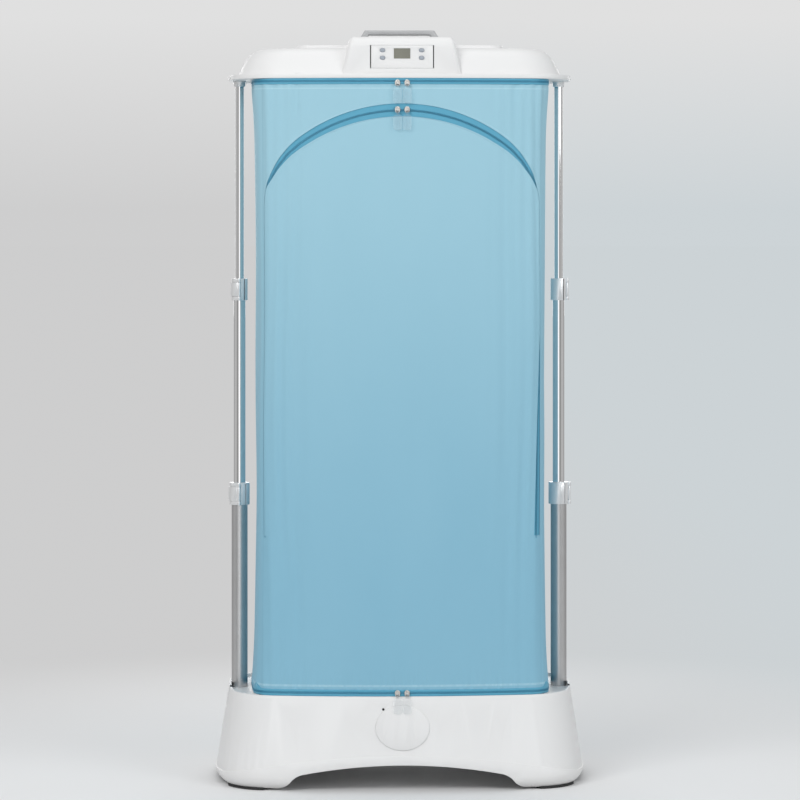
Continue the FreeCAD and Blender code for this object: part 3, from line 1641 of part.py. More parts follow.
def door_arch(offset):
    """Prism through the front: a three-centred arch on two straight legs."""
    half_span = mm("door_half_span")
    crown = mm("door_crown_radius")
    drop = crown - mm("door_rise")
    haunch = (half_span ** 2 + drop ** 2 - crown ** 2) / (2 * (half_span - crown))
    centre_z = mm("door_top_height") - crown
    spring_z = mm("door_top_height") - mm("door_rise")
    haunch_x = half_span - haunch
    turn = math.atan2(haunch_x, drop)
    crown = crown - offset
    haunch = haunch - offset
    half_span = half_span - offset
    front = -mm("tool_reach")
    back = -mm("fabric_half_depth") + 2 * mm("fabric_corner_radius")

    def at(x, z):
        return vec(x, front, z)

    def haunch_points(side):
        join = at(side * crown * math.sin(turn), centre_z + crown * math.cos(turn))
        half = turn + (math.pi / 2 - turn) / 2
        middle = at(
            side * (haunch_x + haunch * math.sin(half)), spring_z + haunch * math.cos(half)
        )
        return join, middle, at(side * half_span, spring_z)

    right = haunch_points(1)
    left = haunch_points(-1)
    low = mm("door_leg_bottom")
    edges = [
        arc(left[0], at(0, centre_z + crown), right[0]),
        arc(right[0], right[1], right[2]),
        Part.makeLine(right[2], at(half_span, low)),
        Part.makeLine(at(half_span, low), at(-half_span, low)),
        Part.makeLine(at(-half_span, low), left[2]),
        arc(left[2], left[1], left[0]),
    ]
    return Part.Face(Part.Wire(edges)).extrude(vec(0, back - front, 0))


def make_fabric():
    outer = fabric_form(0)
    inner = fabric_form(mm("fabric_wall"))
    # both forms end at the hems, so the cover is open there
    wall = outer.cut(inner)
    frame = door_arch(0)
    leaf = door_arch(mm("door_zip_width"))
    shaped("fabric_cover", wall.cut(frame))
    shaped("door_panel", wall.common(leaf))
    thick = fabric_form(-mm("door_zip_proud")).cut(inner)
    shaped("door_zip", thick.common(frame.cut(leaf)))
    rings = (
        ("bottom_zip", mm("base_rim_height") + mm("hem_gap"), mm("hem_height") - mm("hem_gap")),
        (
            "top_zip",
            mm("top_rim_bottom") - mm("hem_gap") - mm("top_hem_height"),
            mm("top_hem_height"),
        ),
    )
    for name, start, height in rings:
        ring = prism(fabric_plan(-mm("door_zip_proud"), start), height)
        over = mm("cut_overshoot")
        hollow = prism(fabric_plan(2 * mm("fabric_wall"), start - over), height + 2 * over)
        shaped(name, ring.cut(hollow))


def slider_body():
    """Zip slider in its own frame: zip face on y = 0, middle at z = 0, bar in front below."""
    half = mm("slider_half_width")
    tall = mm("slider_height") / 2
    thick = mm("slider_thickness")
    body = box(vec(-half, -thick, -tall), vec(half, 0, tall))
    upright = [edge for edge in body.Edges if edge.BoundBox.YLength > thick / 2]
    body = body.makeFillet(mm("slider_corner_radius"), upright)
    eye = vec(0, -thick, mm("slider_eye_rise"))
    body = body.cut(
        rod(mm("slider_eye_diameter") / 2, eye, eye + vec(0, mm("slider_eye_depth"), 0))
    )
    ear = mm("slider_ear")
    reach = mm("slider_ear_reach")
    bar = mm("slider_bar_diameter") / 2
    spot = thick + reach - bar
    for side in (-1, 1):
        inner = side * (mm("tab_neck_half_width") + mm("lever_gap"))
        outer = inner + side * ear
        cheek = box(
            vec(min(inner, outer), -thick - reach, -tall),
            vec(max(inner, outer), 0, 2 * bar + 2 * ear - tall),
        )
        body = body.fuse(cheek)
    start = mm("tab_neck_half_width") + mm("lever_gap") + ear / 2
    height = bar + ear - tall
    body = body.fuse(rod(bar, vec(-start, -spot, height), vec(start, -spot, height)))
    return body.removeSplitter(), vec(0, -spot, height)


def slider_tab(spot):
    """Clear pull tab hanging from the slider's bar."""
    bar = mm("slider_bar_diameter") / 2 + mm("running_clearance")
    eye = bar + mm("tab_eye_wall")
    neck = mm("tab_neck_half_width")
    thick = mm("tab_thickness") / 2
    wide = mm("tab_half_width")
    length = mm("tab_length")
    tab = rod(eye, spot + vec(-neck, 0, 0), spot + vec(neck, 0, 0))
    shoulder = -3 * eye
    shank = box(
        spot + vec(-neck, -thick, shoulder - mm("tab_shank_overlap")), spot + vec(neck, thick, 0)
    )
    paddle = box(spot + vec(-wide, -thick, -length - eye), spot + vec(wide, thick, shoulder))
    corners = [edge for edge in paddle.Edges if edge.BoundBox.YLength > thick]
    paddle = paddle.makeFillet(mm("tab_corner_radius"), corners)
    tab = tab.fuse(shank).fuse(paddle)
    tab = tab.cut(rod(bar, spot + vec(-2 * neck, 0, 0), spot + vec(2 * neck, 0, 0)))
    return tab.removeSplitter()


def make_sliders():
    """Two sliders with pull tabs on each of the three zips, side by side at the front."""
    proud = mm("slider_surface_gap") + mm("door_zip_proud")
    front = -mm("fabric_half_depth") - proud
    drop = mm("top_slider_drop")
    rows = (
        ("top", mm("top_rim_bottom") - mm("hem_gap") - mm("top_hem_height") / 2 - drop),
        ("door", mm("door_top_height") - mm("door_zip_width") / 2),
        ("bottom", mm("base_rim_height") + mm("hem_gap") + mm("hem_height") / 2),
    )
    for zip_name, height in rows:
        for name, side in (("left", -1), ("right", 1)):
            body, spot = slider_body()
            tab = slider_tab(spot)
            x = side * mm("slider_spacing")
            if zip_name == "door":
                # the head is rounded about the line that this slider runs round, which leans
                # with the bowed front
                centre = vec(-x, 0, mm("door_top_height") - mm("door_crown_radius") - height)
                line = vec(-side * mm("door_slider_lean"), 1, 0) * mm("slider_height")
                radius = mm("slider_height") / 2 - centre.z
                body = body.common(rod(radius, centre - line, centre + line))
            home = FreeCAD.Placement(vec(x, front, height), FreeCAD.Rotation())
            slider = shaped(zip_name + "_slider_" + name, body)
            slider.Placement = home
            # the lower tabs hang against the leaning front of the base
            lean = -mm("bottom_tab_lean") if zip_name == "bottom" else 0
            turned_tab = FreeCAD.Placement(vec(0, 0, 0), FreeCAD.Rotation(vec(1, 0, 0), lean), spot)
            pull = shaped(zip_name + "_pull_" + name, tab)
            pull.Placement = home.multiply(turned_tab)


# ---- build, check and write -----------------------------------------------------------------

make_base()
make_badge()
make_foot_pads()
make_latches()
make_poles()
make_clamps()
make_top_sockets()
make_tray()
make_screws()
make_dome()
make_handle()
make_panel()
make_display()
make_board()
make_buttons()
make_outlet()
make_heater()
make_fan()
make_inlet()
make_rail()
make_fabric()
make_sliders()

doc.recompute()

os.makedirs("parts", exist_ok=True)
for item in doc.Objects:
    if "Invalid" in item.State or "Error" in item.State:
        raise RuntimeError("failed object: %s" % item.Label)
for name in node_names:
    item = doc.getObject(name)
    if item.Shape.isNull() or not item.Shape.isValid():
        raise RuntimeError("bad shape: %s" % item.Label)
for name in node_names:
    item = doc.getObject(name)
    item.Shape.exportStep("parts/%s.step" % item.Label)
    size = item.Shape.BoundBox
    print("%-22s %8.1f cm3  %s" % (item.Label, item.Shape.Volume / 1000, size))
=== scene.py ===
import json
import math

import bmesh
import bpy
import numpy as np
from mathutils import Matrix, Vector
from mathutils.bvhtree import BVHTree

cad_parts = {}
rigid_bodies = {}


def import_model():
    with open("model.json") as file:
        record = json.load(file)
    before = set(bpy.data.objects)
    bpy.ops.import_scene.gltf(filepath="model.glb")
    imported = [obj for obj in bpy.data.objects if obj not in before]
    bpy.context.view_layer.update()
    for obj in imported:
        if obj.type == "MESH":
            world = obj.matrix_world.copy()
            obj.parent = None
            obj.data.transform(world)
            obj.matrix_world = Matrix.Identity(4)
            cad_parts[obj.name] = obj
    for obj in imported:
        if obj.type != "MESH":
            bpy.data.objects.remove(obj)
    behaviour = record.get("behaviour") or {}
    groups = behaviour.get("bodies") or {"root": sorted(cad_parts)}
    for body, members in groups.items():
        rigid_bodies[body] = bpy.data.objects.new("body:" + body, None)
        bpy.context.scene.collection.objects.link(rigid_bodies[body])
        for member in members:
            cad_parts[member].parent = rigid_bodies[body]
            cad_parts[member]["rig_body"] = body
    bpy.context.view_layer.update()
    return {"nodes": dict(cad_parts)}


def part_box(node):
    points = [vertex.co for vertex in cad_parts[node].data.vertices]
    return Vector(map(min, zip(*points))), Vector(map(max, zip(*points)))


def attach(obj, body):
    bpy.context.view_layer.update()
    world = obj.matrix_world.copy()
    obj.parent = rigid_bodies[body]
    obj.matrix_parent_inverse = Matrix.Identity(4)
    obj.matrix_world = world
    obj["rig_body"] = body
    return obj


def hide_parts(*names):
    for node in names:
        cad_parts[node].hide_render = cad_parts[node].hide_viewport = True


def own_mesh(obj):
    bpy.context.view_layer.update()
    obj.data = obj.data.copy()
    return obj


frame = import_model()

# ---- Camera ---------------------------------------------------------------------------------
# A level long lens six and a half metres in front of the poles, just over a metre up and a
# little to the left, so that the right pole stands slightly farther away.

view_distance = 6.5
view_turn = math.radians(1.7)
view_height = 1.069
pixels_per_radian = 3439.0
picture_width = 800
picture_shift = (0.7, -192)

camera = bpy.data.objects.new("camera", bpy.data.cameras.new("camera"))
bpy.context.scene.collection.objects.link(camera)
camera.location = (
    -view_distance * math.sin(view_turn), -view_distance * math.cos(view_turn), view_height
)
camera.rotation_euler = (math.radians(90), 0, -view_turn)
camera.data.sensor_width = 36
camera.data.lens = pixels_per_radian / picture_width * camera.data.sensor_width
camera.data.shift_x = picture_shift[0] / picture_width
camera.data.shift_y = picture_shift[1] / picture_width
camera.data.clip_end = 200
bpy.context.scene.camera = camera
bpy.context.scene.view_settings.view_transform = "Standard"


# ---- Floor and light ------------------------------------------------------------------------
# A pale seamless studio sweep: the floor catches the cabinet's shadow near by and fades into
# the backdrop's tone further out. Broad soft lamps stand high at the front.


class Wire:
    """A node output that does arithmetic: each operator adds one Math node."""

    def __init__(self, finish, output):
        self.finish = finish
        self.output = output

    def maths(self, operation, first, second=0.0, third=0.0):
        settings = {"operation": operation}
        return self.finish.node("Math", settings, {0: first, 1: second, 2: third})

    def __add__(self, other):
        return self.maths("ADD", self, other)

    def __radd__(self, other):
        return self.maths("ADD", other, self)

    def __sub__(self, other):
        return self.maths("SUBTRACT", self, other)

    def __rsub__(self, other):
        return self.maths("SUBTRACT", other, self)

    def __mul__(self, other):
        return self.maths("MULTIPLY", self, other)

    def __rmul__(self, other):
        return self.maths("MULTIPLY", other, self)

    def __truediv__(self, other):
        return self.maths("DIVIDE", self, other)

    def __pow__(self, power):
        return self.maths("POWER", self, power)

    def size(self):
        """The value without its sign."""
        return self.maths("ABSOLUTE", self)

    def wave(self, rate):
        """Sine of the value times the rate."""
        turns = self * rate
        return turns.maths("SINE", turns)

    def inside(self, low, high):
        """1 below low, 0 above high, with a soft change between them."""
        settings = {"interpolation_type": "SMOOTHSTEP"}
        return self.finish.node(
            "MapRange", settings, {"Value": self, "From Min": high, "From Max": low}
        )


class Finish:
    """One material: a shader and the nodes that give it its variation over the surface."""

    def __init__(self, name, kind="BsdfPrincipled", **constants):
        self.material = bpy.data.materials.new(name)
        self.material.use_nodes = True
        self.tree = self.material.node_tree
        self.tree.nodes.clear()
        self.end = self.tree.nodes.new("ShaderNodeOutputMaterial")
        self.shader = self.node(kind, {}, {})
        for socket, value in constants.items():
            self.shader.output.node.inputs[socket.replace("_", " ")].default_value = value
        self.show(self.shader)

    def node(self, kind, settings, sockets, out=0):
        """Adds a node, gives it its settings first and then its values and links."""
        made = self.tree.nodes.new("ShaderNode" + kind)
        for setting, value in settings.items():
            if setting == "stops":
                ramp = made.color_ramp
                while len(ramp.elements) < len(value):
                    ramp.elements.new(0.5)
                for element, (place, colour) in zip(ramp.elements, value):
                    element.position = place
                    element.color = (*colour, 1)
            else:
                setattr(made, setting, value)
        for socket, value in sockets.items():
            self.plug(made.inputs[socket], value)
        return Wire(self, made.outputs[out])

    def plug(self, socket, value):
        if isinstance(value, Wire):
            self.tree.links.new(value.output, socket)
        else:
            socket.default_value = value

    def feed(self, socket, value):
        self.plug(self.shader.output.node.inputs[socket], value)

    def show(self, shader):
        self.tree.links.new(shader.output, self.end.inputs["Surface"])

    def place(self):
        """Object coordinates in metres: x to the right, y to the back, z up."""
        return self.node("TexCoord", {}, {}, "Object")

    def axes(self, vector):
        split = self.node("SeparateXYZ", {}, {"Vector": vector}).output.node
        return [Wire(self, split.outputs[axis]) for axis in "XYZ"]

    def noise(self, vector, scale, detail=3.0, roughness=0.5):
        sockets = {"Vector": vector, "Scale": scale, "Detail": detail, "Roughness": roughness}
        return self.node("TexNoise", {}, sockets, 0)

    def stretch(self, vector, x, y, z):
        return self.node("Mapping", {}, {"Vector": vector, "Scale": (x, y, z)})

    def blend(self, share, first, second):
        """A colour between two others, each a wire or red, green and blue."""
        first, second = (
            (*colour, 1) if isinstance(colour, tuple) else colour for colour in (first, second)
        )
        settings = {"data_type": "RGBA"}
        node = self.node("Mix", settings, {0: share, 6: first, 7: second}).output.node
        return Wire(self, node.outputs[2])

    def tint(self, share, first, second):
        self.feed("Base Color", self.blend(share, first, second))

    def gap(self, colour, dark=(0.035, 0.035, 0.038), share=0.92):
        """The colour with painted shade: darkened where the faces look into a narrow gap."""
        return self.blend(
            share * self.node("Attribute", {"attribute_name": "gap"}, {}, "Fac"), colour, dark
        )

    def relief(self, height, distance, strength=1.0):
        """A bump whose full height, in metres, is the given distance."""
        sockets = {"Height": height, "Distance": distance, "Strength": strength}
        self.feed("Normal", self.node("Bump", {}, sockets))


def sweep_surface(radii, turns):
    """Flat rings: the point at radius r and angle a is (r cos a, r sin a, 0)."""
    r, a = np.meshgrid(radii, turns, indexing="ij")
    return np.stack([r * np.cos(a), r * np.sin(a), 0 * r], -1)


def grid_faces(rows, columns, start=0, closed=False):
    """Quads between the rows of a grid, joined round its columns when it is closed."""
    row, column = np.meshgrid(
        np.arange(rows - 1), np.arange(columns if closed else columns - 1), indexing="ij"
    )
    after = (column + 1) % columns
    quads = [row * columns + column, row * columns + after]
    quads += [(row + 1) * columns + after, (row + 1) * columns + column]
    return np.stack(quads, -1).reshape(-1, 4) + start


def mesh_piece(name, points, faces, finish, smooth=True):
    """An object made from arrays of points and of four-sided faces."""
    mesh = bpy.data.meshes.new(name)
    mesh.vertices.add(len(points))
    mesh.vertices.foreach_set("co", np.asarray(points, np.float32).ravel())
    mesh.loops.add(faces.size)
    mesh.loops.foreach_set("vertex_index", np.asarray(faces, np.int32).ravel())
    mesh.polygons.add(len(faces))
    mesh.polygons.foreach_set("loop_start", np.arange(0, faces.size, 4, dtype=np.int32))
    mesh.polygons.foreach_set("use_smooth", np.full(len(faces), smooth))
    mesh.update(calc_edges=True)
    mesh.validate()
    mesh.materials.append(finish.material)
    piece = bpy.data.objects.new(name, mesh)
    bpy.context.scene.collection.objects.link(piece)
    return piece


def room_glow(finish, x, y):
    """The studio walls as glossy surfaces show them: a bright strip in front, a dark one beside
    it, then mid grey round to the pale backdrop. The ramp runs over
    0.5 - 0.5 (strip_y y + strip_x x) / sqrt(x^2 + y^2), five degrees left of straight ahead."""
    strip_x, strip_y = 0.087, 0.996
    stops = [
        (place, (tone, tone, tone)) for place, tone in (
            (0.0, 0.48), (0.05, 0.30), (0.38, 0.34), (0.62, 0.44), (0.75, 0.40),
            (0.85, 0.24), (0.94, 0.24), (0.982, 0.42), (0.993, 1.0), (1.0, 1.0),
        )
    ]
    ahead = 0.0 - (strip_y * y + strip_x * x) / (x * x + y * y) ** 0.5
    return finish.node("ValToRGB", {"stops": stops}, {"Fac": 0.5 + 0.5 * ahead})


sweep = Finish("studio_sweep", "BsdfDiffuse")
sweep_x, sweep_y = sweep.axes(sweep.place())[:2]
# painted shade: the floor's own colour is a little darker behind the cabinet than in front of it
sweep_lit_front = sweep_y.inside(-0.1, 0.5)
sweep.feed("Color", sweep.blend(sweep_lit_front, (0.725, 0.725, 0.725), (0.775, 0.775, 0.775)))
sweep_reach = (sweep_x * sweep_x + sweep_y * sweep_y) ** 0.5
sweep_cool = sweep.node(
    "MapRange", {"interpolation_type": "SMOOTHSTEP"},
    {"Value": sweep_x, "From Min": -0.5, "From Max": 1.5},
)
sweep_tone = sweep.blend(sweep_cool, (0.615, 0.615, 0.617), (0.605, 0.650, 0.672))
sweep_glow = sweep.node("Emission", {}, {"Color": sweep_tone, "Strength": 1.0})
mirror_strength = 1.3
sweep_mirror = sweep.node(
    "Emission", {}, {"Color": room_glow(sweep, sweep_x, sweep_y), "Strength": mirror_strength}
)
sweep_mirrored = sweep.node("LightPath", {}, {}, "Is Glossy Ray")
sweep_far = sweep.node("MixShader", {}, {0: sweep_mirrored, 1: sweep_glow, 2: sweep_mirror})
sweep_near = sweep_reach.inside(0.55, 1.9)
sweep.show(sweep.node("MixShader", {}, {0: sweep_near, 1: sweep_far, 2: sweep.shader}))

sweep_rings = np.concatenate([[1e-3], np.geomspace(0.1, 90, 40)])
sweep_turns = np.linspace(0, 2 * math.pi, 96, endpoint=False)
studio_floor = mesh_piece(
    "studio_floor",
    sweep_surface(sweep_rings, sweep_turns).reshape(-1, 3),
    grid_faces(len(sweep_rings), len(sweep_turns), closed=True),
    sweep,
)

world = bpy.data.worlds.new("studio")
bpy.context.scene.world = world
world.use_nodes = True


class Surround(Finish):
    """The world's own shader tree, with the same way of adding nodes."""

    def __init__(self):
        self.tree = world.node_tree
        self.tree.nodes.clear()
        self.end = self.tree.nodes.new("ShaderNodeOutputWorld")


surround = Surround()
sky_x, sky_y, sky_z = surround.axes(surround.node("TexCoord", {}, {}, "Generated"))
sky_rise = surround.node("MapRange", {}, {"Value": sky_z, "From Min": 0.0, "From Max": 0.055})
sky_cool = surround.node("MapRange", {}, {"Value": sky_x, "From Min": -0.02, "From Max": 0.03})
sky_wall = surround.blend(sky_cool, (0.618, 0.618, 0.620), (0.610, 0.655, 0.678))
sky_tone = surround.blend(sky_rise, sky_wall, (0.745, 0.745, 0.745))
sky_seen = surround.node("Background", {}, {"Color": sky_tone, "Strength": 1.0})
sky_mirror = surround.node(
    "Background", {}, {"Color": room_glow(surround, sky_x, sky_y), "Strength": mirror_strength}
)
sky_light = surround.node("Background", {}, {"Color": (0.97, 0.985, 1.0, 1), "Strength": 0.55})
rays = surround.node("LightPath", {}, {}).output.node
camera_rays, passed_rays, mirror_rays = (
    Wire(surround, rays.outputs["Is " + kind + " Ray"])
    for kind in ("Camera", "Transmission", "Glossy")
)
clear_rays = camera_rays.maths("MAXIMUM", camera_rays, passed_rays)
sky = surround.node("MixShader", {}, {0: clear_rays, 1: sky_light, 2: sky_seen})
surround.show(surround.node("MixShader", {}, {0: mirror_rays, 1: sky, 2: sky_mirror}))


def soft_lamp(name, place, target, width, height, power, colour=(1, 1, 1)):
    """A rectangular area lamp that faces a target point."""
    light = bpy.data.lights.new(name, "AREA")
    light.shape = "RECTANGLE"
    light.size = width
    light.size_y = height
    light.energy = power
    light.color = colour
    lamp = bpy.data.objects.new(name, light)
    lamp.visible_camera = False
    bpy.context.scene.collection.objects.link(lamp)
    place = np.array(place, float)
    back = place - np.array(target, float)
    back /= np.linalg.norm(back)
    side = np.cross((0, 0, 1), back)
    side /= np.linalg.norm(side)
    up = np.cross(back, side)
    lamp.matrix_world = Matrix(
        [[side[i], up[i], back[i], place[i]] for i in range(3)] + [[0, 0, 0, 1]]
    )


soft_lamp("key_lamp", (-2.2, -3.6, 3.4), (0, 0, 0.9), 2.2, 1.6, 92)
soft_lamp("fill_lamp", (2.8, -3.2, 2.2), (0, 0, 0.7), 2.0, 2.0, 46, (0.97, 0.99, 1))
soft_lamp("top_lamp", (0.0, 0.3, 4.2), (0, 0, 1.2), 2.4, 1.6, 18)
soft_lamp("back_lamp", (0.0, 2.6, 1.3), (0, 0.2, 0), 2.6, 1.2, 26)


# ---- Base -----------------------------------------------------------------------------------
# One gloss white moulding on four hidden corner feet, arched between them, with a plain oval
# badge on its front, two side latches in its ends and black anti-slip pads below.


def dress(finish, *nodes):
    """Gives CAD nodes a finish through their own material slots."""
    for node in nodes:
        piece = frame["nodes"][node]
        for slot in piece.material_slots:
            slot.material = finish.material


# all CAD solids in one search tree, for finding the faces that look into a narrow gap, where shade
# is painted into the colour
points, faces = [], []
for piece in frame["nodes"].values():
    start = len(points)
    points += [piece.matrix_world @ vertex.co for vertex in piece.data.vertices]
    faces += [[start + index for index in face.vertices] for face in piece.data.polygons]
all_walls = BVHTree.FromPolygons(points, faces)
gap_width = 0.0048
face_clearance = 0.00005
large_face_area = 0.0004
facing_back = -0.3


def faces_wall(mesh, face):
    """Whether another wall stands across a gap from a face: before its middle, and before the
    corners too if the face is large."""
    spots = [face.center]
    if face.area > large_face_area:
        corners = [mesh.vertices[index].co for index in face.vertices]
        spots += [corner.lerp(face.center, 0.1) for corner in corners]
    for spot in spots:
        start = spot + face.normal * face_clearance
        _, normal, index, _ = all_walls.ray_cast(start, face.normal, gap_width)
        if index is None or normal.dot(face.normal) > facing_back:
            return False
    return True


def moulded(node, finish, edge, sharp=32):
    """A finished copy of a moulded CAD node: merged, smooth, its sharp edges slightly rounded.
    Its attribute "gap" is 1 on the faces that have another wall just in front of them; the
    finishes paint shade there."""
    source = frame["nodes"][node]
    shell = bmesh.new()
    shell.from_mesh(source.data)
    bmesh.ops.remove_doubles(shell, verts=shell.verts, dist=2e-6)
    bmesh.ops.dissolve_limit(
        shell, angle_limit=math.radians(0.4), verts=shell.verts, edges=shell.edges
    )
    mesh = bpy.data.meshes.new(node + "_finished")
    shell.to_mesh(mesh)
    shell.free()
    mesh.polygons.foreach_set("use_smooth", [True] * len(mesh.polygons))
    mesh.materials.clear()
    mesh.materials.append(finish.material)
    painted_shade_faces = [faces_wall(mesh, face) for face in mesh.polygons]
    mesh.attributes.new("gap", "FLOAT", "FACE").data.foreach_set("value", painted_shade_faces)
    piece = bpy.data.objects.new(node + "_finished", mesh)
    bpy.context.scene.collection.objects.link(piece)
    rounding = piece.modifiers.new("soft_edges", "BEVEL")
    rounding.width = edge
    rounding.segments = 2
    rounding.limit_method = "ANGLE"
    rounding.angle_limit = math.radians(sharp)
    rounding.harden_normals = True
    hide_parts(node)
    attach(piece, source["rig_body"])
    return piece


white = Finish("white_housing", Roughness=0.45, Specular_IOR_Level=0.4)
white_place = white.place()
white_x, white_y, white_z = white.axes(white_place)
white_cloud = white.noise(white_place, 6, 2)
# painted shade: the white is darkened over its lowest few centimetres, most at the floor
white_foot_shade = white_z.inside(0.004, 0.05)
white_tint = white.blend(white_cloud, (0.750, 0.746, 0.742), (0.770, 0.767, 0.764))
white_tint = white.blend(white_foot_shade * 0.35, white_tint, (0.70, 0.69, 0.68))
# painted shade darkens the gaps everywhere but low down on the ends, round the latches
white_middle = white_x.size().inside(0.28, 0.29)
white_gap_shade = white_middle.maths("MAXIMUM", white_middle, 1.0 - white_z.inside(0.143, 0.152))
# a small vent hole in the front, its inside painted black as painted shade
vent_x, vent_z, vent_radius = -0.035, 0.149, 0.0020
vent_across, vent_up = white_x - vent_x, white_z - vent_z
vent_reach = (vent_across * vent_across + vent_up * vent_up) ** 0.5
white_vent_shade = vent_reach.inside(vent_radius, vent_radius + 0.0005) * white_y.inside(-0.1, 0)
white_tint = white.blend(white_vent_shade, white_tint, (0.01, 0.01, 0.01))
white.feed("Base Color", white.gap(white_tint, share=0.92 * white_gap_shade))
white.feed("Roughness", 0.42 + 0.08 * white.noise(white_place, 40, 2))
white.relief(white.noise(white_place, 18, 2), 0.0002, 0.5)

for node, edge in (
    ("base_housing", 0.0006), ("base_badge", 0.0009),
    ("side_latch_left", 0.0004), ("side_latch_right", 0.0004),
):
    moulded(node, white, edge)


def outward(points, faces):
    """The faces, turned over where the volume that they enclose comes out negative."""
    corner = points[faces]
    volume = np.einsum("ij,ij->", corner[:, 0], np.cross(corner[:, 1], corner[:, 2]))
    volume += np.einsum("ij,ij->", corner[:, 0], np.cross(corner[:, 2], corner[:, 3]))
    return faces[:, ::-1] if volume < 0 else faces


# the S-curve's lower bend, the sole's round edge and the front's arc, all in the base's plan
bend_radius, bend_x, bend_z = 0.037, 0.2341, 0.04027
sole_radius, sole_y, sole_z = 0.020, 0.17305, 0.023
front_radius, front_x = 1.32, 0.236
lip_start, lip_end, lip_top, lip_thickness = 0.2368, 0.2055, 0.0185, 0.0035


def foot_lip(side_x, side_y):
    """Strip that carries the sole's round edge on from a corner foot into the S-curve. Its
    section is y = sole_y + sole_radius sin a, z = sole_z - sole_radius cos a, moved along the
    front's arc, and its lower edge is z = bend_z - sqrt(bend_radius^2 - (bend_x - x)^2)."""
    x = np.concatenate([[lip_start], np.linspace(bend_x, lip_end, 20)])[:, None]
    low = bend_z - np.sqrt(bend_radius ** 2 - np.clip(bend_x - x, 0, 1) ** 2)
    z = lip_top + (low - lip_top) * np.linspace(0, 1, 12)[None, :]
    y = sole_y + sole_radius * np.sin(np.arccos((sole_z - z) / sole_radius))
    y = y + (front_x ** 2 - x ** 2) / (2 * front_radius)
    outer = np.stack([x + 0 * z, y, z], -1)
    inner = outer - [0, lip_thickness, 0]
    loops = np.concatenate([outer, inner[:, ::-1]], 1)
    count = loops.shape[1]
    k = np.arange(count // 2 - 1)
    cap = np.stack([k, k + 1, count - 2 - k, count - 1 - k], -1)
    last = cap + count * (len(loops) - 1)
    faces = np.concatenate([grid_faces(len(loops), count, closed=True), cap[:, ::-1], last])
    points = (loops * [side_x, side_y, 1]).reshape(-1, 3)
    return points, outward(points, faces)


lips = [foot_lip(side_x, side_y) for side_x in (-1, 1) for side_y in (-1, 1)]
foot_lips = mesh_piece(
    "base_foot_lips",
    np.concatenate([points for points, faces in lips]),
    np.concatenate([faces + index * len(points) for index, (points, faces) in enumerate(lips)]),
    white,
)
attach(foot_lips, "base")

rubber = Finish("rubber_pads", Roughness=0.7)
rubber_grain = rubber.noise(rubber.place(), 900, 2)
rubber.tint(rubber_grain, (0.012, 0.012, 0.013), (0.03, 0.03, 0.03))
rubber.feed("Roughness", 0.55 + 0.3 * rubber_grain)
rubber.relief(rubber_grain, 0.0001)

# the pads' outer edge is brought out and up, to just under the sole's round edge, where its black
# stands in for the shade line under the sole: real pads, partly painted shade
pad_growth, pad_top, pad_outward = 0.010, 0.005, 0.45
pads = moulded("foot_pads", rubber, 0.0003)
spots = np.zeros(3 * len(pads.data.vertices), np.float32)
pads.data.vertices.foreach_get("co", spots)
spots = spots.reshape(-1, 3)
facing = np.zeros_like(spots)
pads.data.vertices.foreach_get("normal", facing.reshape(-1))
facing[:, 2] = 0
facing /= np.maximum(np.linalg.norm(facing, axis=1, keepdims=True), 1e-6)
ahead = spots * [1, 1, 0]
outside = (facing * ahead / np.linalg.norm(ahead, axis=1, keepdims=True)).sum(1) > pad_outward
spots[outside] += facing[outside] * pad_growth
spots[outside & (spots[:, 2] > 0.002), 2] = pad_top
pads.data.vertices.foreach_set("co", spots.ravel())
pads.data.update()


# ---- Poles ----------------------------------------------------------------------------------
# Two telescopic poles of drawn steel tube: the thick lower stage is satin, the two inner
# stages are polished, and each is plainly cut at its ends.


def turned_surface(profile, x, turns):
    """A profile of (radius, height) carried round the upright axis through (x, 0)."""
    angle = np.linspace(0, 2 * math.pi, turns, endpoint=False)
    radius = np.array(profile)[:, 0, None]
    height = np.array(profile)[:, 1, None]
    return np.stack([x + radius * np.cos(angle), radius * np.sin(angle), height + 0 * angle], -1)


def turned_piece(name, profile, x, finish, turns=96):
    """A closed turned piece; corners of the profile are kept crisp by doubled rings."""
    rings = []
    for here, after in zip(profile, profile[1:] + profile[:1]):
        rings.append(turned_surface([here, after], x, turns).reshape(-1, 3))
    points = np.concatenate(rings)
    faces = [grid_faces(2, turns, index * 2 * turns, closed=True) for index in range(len(rings))]
    return mesh_piece(name, points, np.concatenate(faces), finish)


faintest_relief = 0.05


def drawn_steel(name, low, high, rough, lines):
    """Steel drawn lengthwise: fine streaks along the tube and faint handling marks."""
    steel = Finish(name, Metallic=1.0, Roughness=rough)
    place = steel.place()
    streak = steel.noise(steel.stretch(place, 1, 1, 0.004), 2600, 3, 0.7)
    marks = steel.noise(place, 35, 4, 0.6)
    steel.tint(marks, (low, low, low), (high, high, high * 1.01))
    steel.feed("Roughness", rough + lines * (streak + 0.5 * marks))
    if lines > faintest_relief:
        steel.relief(streak, 0.00002, lines * 2)
    return steel


satin_steel = drawn_steel("satin_tube", 0.54, 0.60, 0.30, 0.10)
polished_steel = drawn_steel("polished_tube", 0.80, 0.86, 0.06, 0.02)

tube_radius = {"lower": 0.015, "middle": 0.011, "upper": 0.008}
tube_wall = 0.0015
tube_chamfer = 0.0004
guide_length = 0.024

